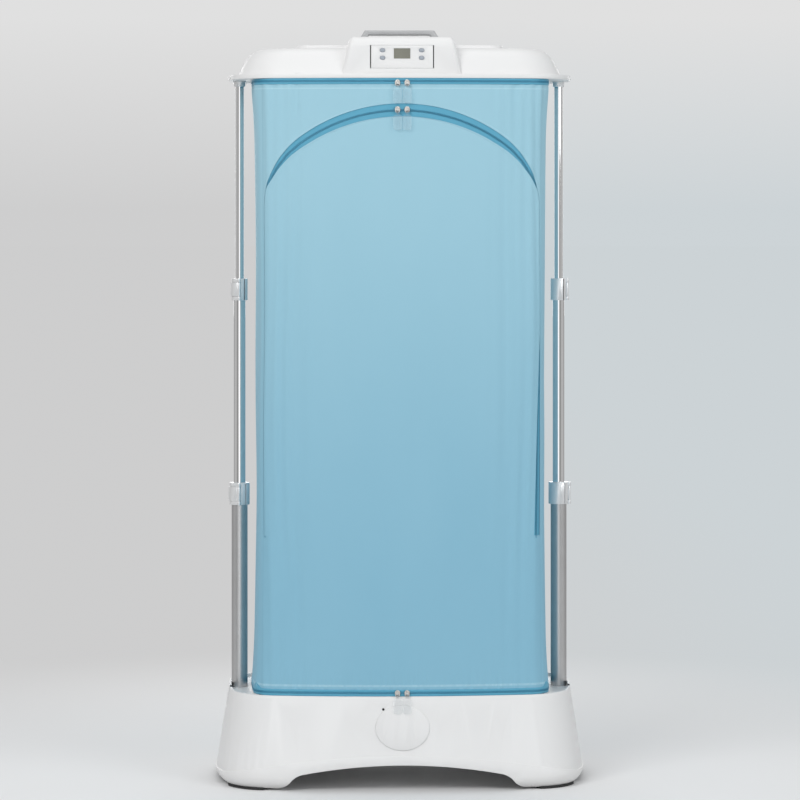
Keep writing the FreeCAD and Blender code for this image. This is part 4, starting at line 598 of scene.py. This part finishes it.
for side_name in ("left", "right"):
    for stage, outer in tube_radius.items():
        steel = satin_steel if stage == "lower" else polished_steel
        node = stage + "_tube_" + side_name
        low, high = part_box(node)
        centre = (low.x + high.x) / 2
        inner = outer - tube_wall
        guide = (high.x - low.x) / 2
        profile = [
            (inner, low.z), (guide, low.z), (guide, low.z + guide_length),
            (outer, low.z + guide_length), (outer, high.z - tube_chamfer),
            (outer - tube_chamfer, high.z), (inner, high.z),
        ]
        if stage == "lower":
            profile = profile[:1] + [(outer, low.z)] + profile[4:]
        tube = turned_piece(node + "_drawn", profile, centre, steel)
        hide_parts(node)
        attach(tube, frame["nodes"][node]["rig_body"])


# ---- Clamps and pole sockets ----------------------------------------------------------------
# Flip-lock clamps of pale grey nylon: a split collar on the outer tube and a wrap lever on a
# moulded pin. Plain sockets of the same nylon hold the poles under the top unit.

nylon = Finish("clamp_plastic", Roughness=0.36, Metallic=0.55)
nylon_place = nylon.place()
nylon_grain = nylon.noise(nylon_place, 1400, 2)
nylon_cloud = nylon.noise(nylon_place, 40, 2)
nylon_tint = nylon.blend(nylon_cloud, (0.80, 0.805, 0.81), (0.86, 0.865, 0.87))
# painted shade: the nylon is darkened in its narrow gaps and slits
nylon.feed("Base Color", nylon.gap(nylon_tint, (0.05, 0.035, 0.04)))
nylon.feed("Roughness", 0.32 + 0.10 * nylon_grain)
nylon.relief(nylon_grain, 0.00004, 0.6)

for side_name in ("left", "right"):
    for stage in ("lower", "upper"):
        moulded(stage + "_collar_" + side_name, nylon, 0.0004)
        moulded(stage + "_lever_" + side_name, nylon, 0.0004)
    moulded("top_socket_" + side_name, nylon, 0.0004)
dress(nylon, "rail_bracket_front", "rail_bracket_rear")


# ---- Top unit -------------------------------------------------------------------------------
# A white moulded dome on a flat tray, with a raised middle block that carries the grey handle
# and the inset control panel. Fan, heater and outlet grille hide inside.

moulded("top_tray", white, 0.0006)
moulded("top_dome", white, 0.0008, 38)
moulded("control_panel", white, 0.0005)

handle_grey = Finish("grey_handle", Roughness=0.4)
handle_place = handle_grey.place()
handle_grain = handle_grey.noise(handle_place, 1200, 2)
handle_cloud = handle_grey.noise(handle_place, 25, 2)
handle_grey.tint(handle_cloud, (0.38, 0.385, 0.39), (0.44, 0.445, 0.45))
handle_grey.feed("Roughness", 0.36 + 0.14 * handle_grain)
handle_grey.relief(handle_grain, 0.00004, 0.6)
moulded("carry_handle", handle_grey, 0.0025)

button_grey = Finish("grey_buttons", Roughness=0.45)
button_grain = button_grey.noise(button_grey.place(), 1600, 2)
button_grey.tint(button_grain, (0.30, 0.33, 0.38), (0.36, 0.39, 0.43))
button_grey.relief(button_grain, 0.00003, 0.5)
for spot in ("upper_left", "lower_left", "upper_right", "lower_right"):
    moulded("button_" + spot, button_grey, 0.0006)

display_lens = Finish("display_glass", Roughness=0.12, Coat_Weight=0.4)
lens_cloud = display_lens.noise(display_lens.place(), 60, 2)
display_lens.tint(lens_cloud, (0.150, 0.150, 0.118), (0.190, 0.190, 0.150))
display_lens.feed("Roughness", 0.10 + 0.05 * display_lens.noise(display_lens.place(), 300, 2))
dress(display_lens, "display_window")

board_green = Finish("board_green", Roughness=0.4)
board_track = board_green.noise(board_green.stretch(board_green.place(), 1, 1, 4), 160, 1)
board_green.tint(board_track, (0.02, 0.12, 0.05), (0.06, 0.25, 0.12))
dress(board_green, "control_board")

dark_plastic = Finish("dark_plastic", Roughness=0.5)
dark_grain = dark_plastic.noise(dark_plastic.place(), 900, 2)
dark_plastic.tint(dark_grain, (0.018, 0.018, 0.02), (0.035, 0.035, 0.038))
dark_plastic.feed("Roughness", 0.4 + 0.2 * dark_grain)
dark_plastic.relief(dark_grain, 0.00006, 0.6)
dress(dark_plastic, "outlet_grille", "fan_housing", "fan_wheel", "power_inlet")

heater_metal = Finish("heater_metal", Metallic=1.0, Roughness=0.4)
heater_heat = heater_metal.noise(heater_metal.place(), 30, 3)
heater_metal.tint(heater_heat, (0.55, 0.55, 0.56), (0.50, 0.46, 0.42))
heater_metal.feed("Roughness", 0.3 + 0.2 * heater_heat)
dress(heater_metal, "heater_block")

bright_steel = drawn_steel("bright_steel", 0.62, 0.70, 0.2, 0.1)
dress(bright_steel, "fan_motor", "top_screws", "hanger_rail")


# ---- Fabric chamber -------------------------------------------------------------------------
# A box of thin sky-blue nylon, sewn at its front corners and zipped to the base and the top. It
# is drawn in a little at the waist and hangs in soft upright folds beside the corners.

fabric_half_width = 0.278
fabric_half_depth = 0.185
fabric_corner = 0.045
fabric_bow = 1.5
fabric_low = 0.1843
fabric_high = 1.2964
waist_draw = 0.009
fold_depth = 0.003

# how much of the waist and of the folds there is at six levels, from foot to head
level_share = np.array([0.0, 0.06, 0.3, 0.65, 0.93, 1.0])
level_draw = np.array([0.0, 0.45, 1.0, 0.9, 0.5, 0.0])
level_fold = np.array([0.0, 0.6, 1.0, 0.7, 0.3, 0.0])


def eased(share, values):
    """Values at the levels, joined by a running mean so that no kink is left."""
    table = np.linspace(-0.1, 1.1, 481)
    raw = np.interp(table, level_share, values)
    kernel = np.ones(25) / 25
    smooth = np.convolve(raw, kernel, "same")
    ends = np.minimum(1, np.minimum(table, 1 - table).clip(0) / 0.03)
    return np.interp(share, table, smooth * ends + raw * (1 - ends))


def corner_frame(half_width):
    """Corner arc tangent to the front and side arcs: its centre, and the turns where it starts
    and ends, measured from straight ahead. The two big arcs have the same radius, so the
    centre is where circles of radius (bow - corner) about their centres cross."""
    bow, corner = fabric_bow, fabric_corner
    front_y = bow - fabric_half_depth
    side_x = half_width - bow
    gap = np.sqrt(side_x ** 2 + front_y ** 2)
    half = gap / 2
    across = np.sqrt((bow - corner) ** 2 - half ** 2)
    ahead_x, ahead_y = side_x / gap, -front_y / gap
    centre_x = ahead_x * half - ahead_y * across
    centre_y = front_y + ahead_y * half + ahead_x * across
    first = np.arctan2(centre_x, front_y - centre_y)
    last = math.pi / 2 - np.arctan2(-centre_y, centre_x - side_x)
    return bow, corner, front_y, side_x, centre_x, centre_y, first, last


def quarter_length(half_width):
    """Distance along the plan from the front middle to a side's middle."""
    bow, corner, *_, first, last = corner_frame(half_width)
    return bow * first + corner * (last - first) + bow * (math.pi / 2 - last)


def run_at(x, half_width):
    """Distance along the fabric, from the front middle, of the point whose x is given."""
    bow, corner, _, _, cx, _, first, _ = corner_frame(half_width)
    on_front = bow * np.arcsin(np.clip(x / bow, -1, 1))
    turn = np.arcsin(np.clip((x - cx) / corner, -1, 1))
    on_corner = bow * first + corner * (turn - first)
    return np.where(x < cx + corner * np.sin(first), on_front, on_corner)


def chamber_plan(run, half_width):
    """Point and outward normal on the plan at a signed distance from the front middle: front
    arc, corner arc and side arc, mirrored for the back and for the left."""
    bow, corner, front_y, side_x, cx, cy, first, last = corner_frame(half_width)
    quarter = quarter_length(half_width)
    reach = np.abs(run)
    behind = reach > quarter
    along = np.where(behind, 2 * quarter - reach, reach)
    on_front = along < bow * first
    on_corner = along < bow * first + corner * (last - first)
    past_front = along - bow * first
    side_turn = last + (past_front - corner * (last - first)) / bow
    turn = np.where(on_corner, first + past_front / corner, side_turn)
    turn = np.where(on_front, along / bow, turn)
    nx, ny = np.sin(turn), -np.cos(turn)
    x = np.where(on_front, bow * nx, np.where(on_corner, cx + corner * nx, side_x + bow * nx))
    y = np.where(on_front, front_y + bow * ny, np.where(on_corner, cy + corner * ny, bow * ny))
    side = np.where(run < 0, -1.0, 1.0)
    flip = np.where(behind, -1.0, 1.0)
    return x * side, y * flip, nx * side, ny * flip


def bell(value, middle, width):
    """exp(-((value - middle) / width)^2)"""
    return np.exp(-(((value - middle) / width) ** 2))


valleys = ((0.194, 0.013), (0.224, 0.011))
ripple_depth = 0.0009
billow_depth = 0.0016
flutter_depth = 0.0007
hem_pucker = 0.0010
head_gather = 0.0018


def drape(run, height):
    """How far the cloth stands out from its plain plan: soft valleys beside the corners, slack
    upright ripples, a slow billow, a flutter, and puckers at both hems, all as sums of sines."""
    share = (height - fabric_low) / (fabric_high - fabric_low)
    reach = np.abs(run)
    fold = sum(bell(reach, middle, width) for middle, width in valleys)
    out = -fold_depth * eased(share, level_fold) * fold
    sway = np.sin(3.1 * height + 5 * run) + 0.5 * np.sin(7.7 * height - 9 * run + 1.0)
    ripple = np.sin(run * 300 + 2.2 * sway) * (0.35 + 0.65 * share)
    out += ripple_depth * bell(reach, 0.235, 0.05) * ripple
    middle = np.sin(math.pi * np.clip(share, 0, 1))
    billow = np.sin(9 * run + 2.6 * height + 0.7) * np.cos(3.9 * height)
    flutter = np.sin(31 * run - 6.0 * height + 2 * np.sin(4 * height))
    out += middle * (billow_depth * billow + flutter_depth * flutter)
    above, below = height - fabric_low, fabric_high - height
    pucker = np.sin(run * 410 + 3 * np.sin(run * 37)) + 0.6 * np.sin(run * 271 + 1.3)
    out += hem_pucker * np.exp(-(above / 0.014)) * pucker * (1 - np.exp(-(above / 0.003)))
    gather = np.sin(run * 150 + 2 * np.sin(run * 23 + 0.5)) * (0.35 + 0.65 * (reach > 0.19))
    out += head_gather * np.exp(-(below / 0.045)) * gather * (1 - np.exp(-(below / 0.004)))
    return out


def half_width_at(height):
    """Half of the fabric's width at a height: plain, less the waist's draw."""
    share = (height - fabric_low) / (fabric_high - fabric_low)
    return fabric_half_width - waist_draw * eased(share, level_draw)


def cloth_point(run, height, lift=0.0):
    """Point of the fabric at a distance round it and a height, lifted outwards."""
    x, y, nx, ny = chamber_plan(run, half_width_at(height))
    out = drape(run, height) + lift
    return np.stack([x + nx * out, y + ny * out, height + 0 * run], -1)


def thinned(count, step):
    """Every step-th index of a row, and always the last."""
    return np.append(np.arange(0, count - 1, step), count - 1)


def lay_uv(piece, spread):
    """A UV map in metres, from one pair of run and height for each point."""
    layer = piece.data.uv_layers.new(name="cloth_metres")
    corners = np.zeros(len(piece.data.loops), np.int32)
    piece.data.loops.foreach_get("vertex_index", corners)
    layer.data.foreach_set("uv", spread[corners].astype(np.float32).ravel())


def panel_piece(name, blocks, finish, thick=0.0006):
    """Sheet made of grid blocks of (run, height, lift), closed by an inner face and its rims.
    Each block's inner face is the same surface moved inwards by the cloth's thickness, on a
    coarser grid."""
    points, faces, uvs = [], [], []
    start = 0
    for run, height, lift in blocks:
        run, height, lift = np.broadcast_arrays(run, height, lift)
        outer = cloth_point(run, height, lift)
        inner = cloth_point(run, height, lift - thick)
        flat = np.stack([run, height], -1)
        coarse = np.ix_(thinned(run.shape[0], 2), thinned(run.shape[1], 3))
        layers = ((outer, flat, False), (inner[coarse], flat[coarse], True))
        for layer, spread, turned in layers:
            quads = grid_faces(*layer.shape[:2], start)
            points.append(layer.reshape(-1, 3))
            uvs.append(spread.reshape(-1, 2))
            faces.append(quads[:, ::-1] if turned else quads)
            start += layer.shape[0] * layer.shape[1]
        rims = (
            (outer[0], inner[0], flat[0], True),
            (outer[-1], inner[-1], flat[-1], False),
            (outer[:, 0], inner[:, 0], flat[:, 0], False),
            (outer[:, -1], inner[:, -1], flat[:, -1], True),
        )
        for near, far, spot, turned in rims:
            quads = grid_faces(2, len(near), start)
            points.append(np.concatenate([near, far]))
            uvs.append(np.concatenate([spot, spot]))
            faces.append(quads[:, ::-1] if turned else quads)
            start += 2 * len(near)
    piece = mesh_piece(name, np.concatenate(points), np.concatenate(faces), finish)
    lay_uv(piece, np.concatenate(uvs))
    return piece


# the door's opening: an arch struck from three centres on two straight legs
arch_half_span = 0.254
arch_top = 1.261
arch_crown = 0.320
arch_spring = 1.070
arch_haunch = 0.16093
arch_knee = math.atan2(arch_half_span - arch_haunch, arch_crown - (arch_top - arch_spring))
leg_bottom = 0.465


def arch_point(turn, inset):
    """Point of the arch whose normal makes the given turn from straight up, moved inwards."""
    on_crown = turn < arch_knee
    radius = np.where(on_crown, arch_crown, arch_haunch) - inset
    x = np.where(on_crown, 0, arch_half_span - arch_haunch) + radius * np.sin(turn)
    z = np.where(on_crown, arch_top - arch_crown, arch_spring) + radius * np.cos(turn)
    return x, z


crescent_width = 0.0235
leg_width = 0.0105
leg_open_from = 0.86
slit_least = 0.0006


def slit_width(turn, height, side):
    """Width of the zip that the two flaps leave bare: a crescent over the arch, closed beside
    the corners, and open again at the foot of the right leg."""
    crescent = crescent_width * np.clip(np.cos(turn * 1.154), 0, 1) ** 0.8
    opened = np.clip((leg_open_from - height) / (leg_open_from - leg_bottom), 0, 1)
    return np.maximum(np.maximum(crescent, np.where(side > 0, opened * leg_width, 0)), slit_least)


crown_turn = 0.012
leg_rows = np.linspace(leg_bottom, arch_spring, 62)
arch_turns = np.linspace(math.pi / 2, crown_turn, 84)[1:]


def opening_edge(side, inner):
    """Half width and height of one side of the opening, row by row from the foot of the leg to
    the crown: the cover's edge, or the door's edge one slit width inside it."""
    turns = np.concatenate([np.full(len(leg_rows), math.pi / 2), arch_turns])
    legs = np.concatenate([leg_rows, np.full(len(arch_turns), arch_spring)])
    width = slit_width(turns, legs, side) if inner else 0 * turns
    x, z = arch_point(turns, width)
    return x, np.where(turns >= math.pi / 2, legs, z)


nylon_cloth = Finish(
    "blue_fabric", Roughness=0.7, Sheen_Weight=0.06, Sheen_Roughness=0.5,
    Sheen_Tint=(0.6, 0.85, 1.0, 1),
)
cloth_uv = nylon_cloth.node("UVMap", {"uv_map": "cloth_metres"}, {})
cloth_run, cloth_height = nylon_cloth.axes(cloth_uv)[:2]
cloth_place = nylon_cloth.place()
# painted light: the cloth is paler towards the top and deeper low down, as the light falls on it
cloth_light_rise = nylon_cloth.node(
    "MapRange", {"interpolation_type": "SMOOTHSTEP"},
    {"Value": nylon_cloth.axes(cloth_place)[2], "From Min": 0.30, "From Max": 1.30},
)
cloth_cloud = nylon_cloth.noise(nylon_cloth.stretch(cloth_place, 1, 1, 0.35), 9, 3, 0.5)
cloth_shaded_low = nylon_cloth.blend(cloth_cloud, (0.210, 0.448, 0.585), (0.236, 0.476, 0.612))
cloth_lit_high = nylon_cloth.blend(cloth_cloud, (0.308, 0.545, 0.650), (0.334, 0.570, 0.675))
cloth_colour = nylon_cloth.blend(cloth_light_rise, cloth_shaded_low, cloth_lit_high)
# threads half a millimetre apart, both ways
thread_rate = 12500.0
weave = 0.5 + 0.25 * cloth_run.wave(thread_rate) + 0.25 * cloth_height.wave(thread_rate)
# sewn seams down the two front corners, with their stitch holes
seam_at = 0.262
seam_line = (cloth_run.size() - seam_at).size().inside(0.0006, 0.0022)
stitch_step = cloth_height.wave(2200.0)
cloth_dark = nylon_cloth.blend(seam_line * 0.12, cloth_colour, (0.10, 0.28, 0.40))
# a sewn hem line above the lower zip and below the upper one, with painted highlights in short
# bright puckers
hem_line, head_line = 0.1912, 1.2890
hem_highlight = (cloth_height - hem_line).size().inside(0.0010, 0.0030)
hem_highlight = hem_highlight + (cloth_height - head_line).size().inside(0.0006, 0.0018)
hem_highlight_mottle = nylon_cloth.noise(nylon_cloth.stretch(cloth_uv, 1, 0.4, 1), 240, 3, 0.7)
nylon_cloth.tint(hem_highlight * hem_highlight_mottle * 0.55, cloth_dark, (0.55, 0.76, 0.84))
nylon_cloth.feed("Roughness", 0.58 + 0.12 * weave)
slub = nylon_cloth.noise(nylon_cloth.stretch(cloth_uv, 1, 0.05, 1), 900, 2)
nylon_cloth.relief(weave * 0.5 + slub * 0.5 - seam_line * (0.4 + 0.2 * stitch_step), 0.00022, 0.55)

# cover: a ring below the door, the two sides of the opening and a ring above it, cut at the
# corner seams into a front with the opening in it and a back with both sides
fold_in, fold_reach = 0.0009, 0.006
hem_rows = np.linspace(fabric_low, fabric_low + 0.04, 17)
full_low = np.concatenate([hem_rows[:-1], np.linspace(hem_rows[-1], leg_bottom, 16)])[:, None]
full_high = np.linspace(arch_top, fabric_high, 15)[:, None]
front_columns = np.linspace(-seam_at, seam_at, 240)[None, :]
front_blocks = [(front_columns, rows, 0.0) for rows in (full_low, full_high)]
for side in (1, -1):
    edge_x, edge_z = opening_edge(side, False)
    rows = edge_z[:, None]
    first = run_at(edge_x[:, None], half_width_at(rows))
    run = first + (seam_at - first) * np.linspace(0, 1, 110)[None, :]
    hem = np.exp(-(((run - first) / fold_reach) ** 4)) * fold_in
    run, rows, hem = np.broadcast_arrays(run, rows, hem)
    if side < 0:
        run, rows, hem = -run[:, ::-1], rows[:, ::-1], hem[:, ::-1]
    front_blocks.append((run, rows, hem))
cover_front = panel_piece("cover_front_cloth", front_blocks, nylon_cloth)

head_start = fabric_high - 0.05
back_rows = np.concatenate(
    [hem_rows[:-1], np.linspace(hem_rows[-1], head_start, 56)[:-1],
     np.linspace(head_start, fabric_high, 14)]
)[:, None]
back_around = 2 * quarter_length(half_width_at(back_rows))
back_share = np.linspace(0, 1, 560)[None, :]
back_run = seam_at + (2 * back_around - 2 * seam_at) * back_share
back_run = np.where(back_run > back_around, back_run - 2 * back_around, back_run)
cover_back = panel_piece("cover_back_cloth", [(back_run, back_rows, 0.0)], nylon_cloth)

# door: the same cloth inside the zip, edged with a narrow turned hem
right_x, right_z = opening_edge(1, True)
left_x, left_z = opening_edge(-1, True)
rows = ((right_z + left_z) / 2)[:, None]
here = half_width_at(rows)
right_run = run_at(right_x[:, None], here)
left_run = -run_at(left_x[:, None], here)
share = np.linspace(0, 1, 250)[None, :]
run = left_run + (right_run - left_run) * share
near_edge = np.minimum(right_run - run, run - left_run)
hem = np.exp(-((near_edge / fold_reach) ** 4)) * fold_in
door_cloth = panel_piece("door_panel_cloth", [(run, rows, hem)], nylon_cloth)

for piece in (cover_front, cover_back, door_cloth):
    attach(piece, "base")
    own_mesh(piece)
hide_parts("fabric_cover")
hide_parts("door_panel")


# ---- Zips -----------------------------------------------------------------------------------
# Three coil zips on woven tape a shade darker than the cloth: one round the foot of the
# fabric, one round its head, and one round the door.

zip_tape = Finish("zip_tape", Roughness=0.6, Sheen_Weight=0.15)
tape_uv = zip_tape.node("UVMap", {"uv_map": "cloth_metres"}, {})
tape_run, tape_height = zip_tape.axes(tape_uv)[:2]
tape_rib = tape_height.wave(6300.0)
tape_weft = tape_run.wave(9000.0)
tape_cloud = zip_tape.noise(zip_tape.place(), 40, 2)
tape_colour = zip_tape.blend(tape_cloud, (0.085, 0.355, 0.510), (0.105, 0.400, 0.560))
zip_tape.tint(0.20 + 0.15 * tape_rib, tape_colour, (0.06, 0.26, 0.40))
zip_tape.feed("Roughness", 0.55 + 0.1 * tape_weft)
zip_tape.relief(0.5 + 0.3 * tape_rib + 0.2 * tape_weft, 0.00015, 0.6)

zip_coil = Finish("zip_coil", Roughness=0.35)
coil_grain = zip_coil.noise(zip_coil.place(), 1500, 1)
zip_coil.tint(coil_grain, (0.045, 0.220, 0.345), (0.065, 0.270, 0.405))
zip_coil.feed("Roughness", 0.3 + 0.15 * coil_grain)

tooth_pitch = 0.0017
tooth_reach = 0.0021
coil_rise = 0.0005


def teeth_piece(name, spots, along, across, out):
    """Coil teeth: at each spot a low six-sided bar, its long side across the zip.
    Its profile is a trapezium that is 0.62 of a pitch wide at the tape and 0.36 at its top."""
    profile = np.array([(-0.31, 0.0), (-0.18, 0.75), (0.18, 0.75), (0.31, 0.0)]) * tooth_pitch
    points = []
    for end, rise in ((-1.0, 0.35), (-0.72, 1.0), (0.72, 1.0), (1.0, 0.35)):
        points.append(
            spots[:, None, :]
            + along[:, None, :] * profile[None, :, 0, None]
            + out[:, None, :] * (profile[None, :, 1, None] * 0.75 * rise)
            + across[:, None, :] * (end * tooth_reach)
        )
    points = np.stack(points, 1)
    one = np.concatenate([grid_faces(4, 4), [[0, 1, 2, 3], [15, 14, 13, 12]]])
    faces = (one[None] + 16 * np.arange(len(spots))[:, None, None]).reshape(-1, 4)
    return mesh_piece(name, points.reshape(-1, 3), faces, zip_coil, smooth=False)


def unit(vectors):
    """The vectors, each at length 1."""
    return vectors / np.linalg.norm(vectors, axis=-1, keepdims=True)


band_lift, band_thickness = 0.0006, 0.002
ridge_inset, ridge_height, ridge_width = 0.0022, 0.0005, 0.0009
front_corner, tip_width = 0.279, 0.009


def band_tape(name, low, high, tip):
    """Zip tape round the whole chamber: the plan at its plain width between two heights, with a
    ridge along each edge. Its upper edge runs up into a point of height tip at both front
    corners, as a bell of the distance along it."""
    around = 2 * quarter_length(fabric_half_width)
    run = np.linspace(-1, 1, 961)[None, :] * around
    point = tip * bell(np.abs(run), front_corner, tip_width)
    rows = low + (high + point - low) * np.linspace(0, 1, 21)[:, None]
    lift = np.full(rows.shape, band_lift)
    for height in (low + ridge_inset, high - ridge_inset):
        lift = lift + ridge_height * bell(rows, height, ridge_width)
    run, rows, lift = np.broadcast_arrays(run, rows, lift)
    x, y, nx, ny = chamber_plan(run, fabric_half_width)
    points, faces, start = [], [], 0
    for depth, turned in ((0.0, False), (band_thickness, True)):
        points.append(np.stack([x + nx * (lift - depth), y + ny * (lift - depth), rows], -1))
        quads = grid_faces(*run.shape, start)
        faces.append(quads[:, ::-1] if turned else quads)
        start += run.size
    near, far = points
    for index, turned in ((0, True), (-1, False)):
        quads = grid_faces(2, run.shape[1], start)
        points.append(np.stack([near[index], far[index]]))
        faces.append(quads[:, ::-1] if turned else quads)
        start += 2 * run.shape[1]
    flat = np.concatenate([block.reshape(-1, 3) for block in points])
    piece = mesh_piece(name, flat, np.concatenate(faces), zip_tape)
    spread = np.stack([run, rows], -1)
    edges = [spread[index] for index in (0, 0, -1, -1)]
    lay_uv(piece, np.concatenate([spread.reshape(-1, 2)] * 2 + edges))
    return piece


for node, low, high, body, tip in (
    ("bottom_zip", 0.1723, 0.1843, "base", 0.009), ("top_zip", 1.2967, 1.3077, "top_unit", 0.0)
):
    tape = band_tape(node + "_tape", low, high, tip)
    around = 2 * quarter_length(fabric_half_width)
    run = np.arange(-around, around, tooth_pitch)
    x, y, nx, ny = chamber_plan(run, np.full(run.shape, fabric_half_width))
    out = np.stack([nx, ny, 0 * nx], -1)
    along = np.stack([-ny, nx, 0 * nx], -1)
    up = np.tile([0.0, 0.0, 1.0], (len(run), 1))
    spots = np.stack([x, y, np.full(run.shape, (low + high) / 2)], -1) + out * coil_rise
    coil = teeth_piece(node + "_coil", spots, along, up, out)
    coil.parent = tape
    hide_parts(node)
    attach(tape, body)

# door zip: tape behind the two flaps, following the arch and both legs
upright = math.pi / 2
tape_legs = np.linspace(leg_bottom - 0.004, arch_spring, 160)[:-1]
tape_turns = np.linspace(upright, -upright, 401)
path_turn = np.concatenate([0 * tape_legs + upright, tape_turns, 0 * tape_legs - upright])
path_leg = np.concatenate([tape_legs, np.full(len(tape_turns), arch_spring), tape_legs[::-1]])
path_side = np.where(path_turn < 0, -1.0, 1.0)


def door_path(inset):
    """Run and height along the door zip, from the right foot over the crown to the left foot."""
    x, z = arch_point(np.abs(path_turn), inset)
    z = np.where(np.abs(path_turn) >= upright - 1e-9, path_leg, z)
    return path_side * run_at(x, half_width_at(z)), z


tape_lines = [door_path(inset) for inset in np.linspace(-0.004, 0.028, 23)]
tape_runs, tape_heights = (np.stack(lines) for lines in zip(*tape_lines))
tape_depth, tape_thickness = 0.0007, 0.0005
door_tape = panel_piece(
    "door_zip_tape", [(tape_runs, tape_heights, -tape_depth)], zip_tape, tape_thickness
)
bare = slit_width(np.abs(path_turn), path_leg, path_side)
coil_run, coil_height = door_path(np.clip(0.5 * bare + 0.001, 0.0015, 0.0125))
coil_depth = 0.0006
coil_line = cloth_point(coil_run, coil_height, -coil_depth)
step = np.linalg.norm(np.diff(coil_line, axis=0), axis=1)
length = np.concatenate([[0], np.cumsum(step)])
places = np.arange(0, length[-1], tooth_pitch)
even_run = np.interp(places, length, coil_run)
even_height = np.interp(places, length, coil_height)
spots = cloth_point(even_run, even_height, -coil_depth)
ahead = unit(np.gradient(spots, axis=0))
x, y, nx, ny = chamber_plan(even_run, half_width_at(even_height))
out = np.stack([nx, ny, 0 * nx], -1)
door_coil = teeth_piece("door_zip_coil", spots, ahead, unit(np.cross(out, ahead)), out)
for piece in (door_tape, door_coil):
    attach(piece, "base")
    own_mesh(piece)
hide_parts("door_zip")


# ---- Zip sliders ----------------------------------------------------------------------------
# Plated sliders, two to a zip, each with a clear moulded pull tab on its bar. They meet in the
# middle of the front when the zips are shut.

plated = Finish("zip_metal", Metallic=1.0, Roughness=0.25)
plated_wear = plated.noise(plated.place(), 500, 3)
plated_tint = plated.blend(plated_wear, (0.44, 0.43, 0.41), (0.66, 0.65, 0.62))
# painted shade: the sliders are darkened in their narrow gaps, such as the eye holes
plated.feed("Base Color", plated.gap(plated_tint))
plated.feed("Roughness", 0.20 + 0.16 * plated_wear)

# thin clear plastic: seen through where it faces the eye, turning opaque and pale towards its
# rounded edges, a painted reflection of the light those edges catch
clear_tab = Finish("clear_tab", Roughness=0.12, IOR=1.46)
clear_cloud = clear_tab.noise(clear_tab.place(), 300, 2)
clear_edge_reflection = clear_tab.node("LayerWeight", {}, {"Blend": 0.5}, "Facing")
clear_tab.tint(clear_cloud, (0.84, 0.90, 0.93), (0.88, 0.93, 0.95))
clear_tab.feed("Roughness", 0.08 + 0.08 * clear_cloud)
clear_tab.feed("Alpha", 0.06 + 0.75 * clear_edge_reflection ** 1.3)

for zip_name in ("top", "door", "bottom"):
    for side_name in ("left", "right"):
        moulded(zip_name + "_slider_" + side_name, plated, 0.0003)
        moulded(zip_name + "_pull_" + side_name, clear_tab, 0.0003)
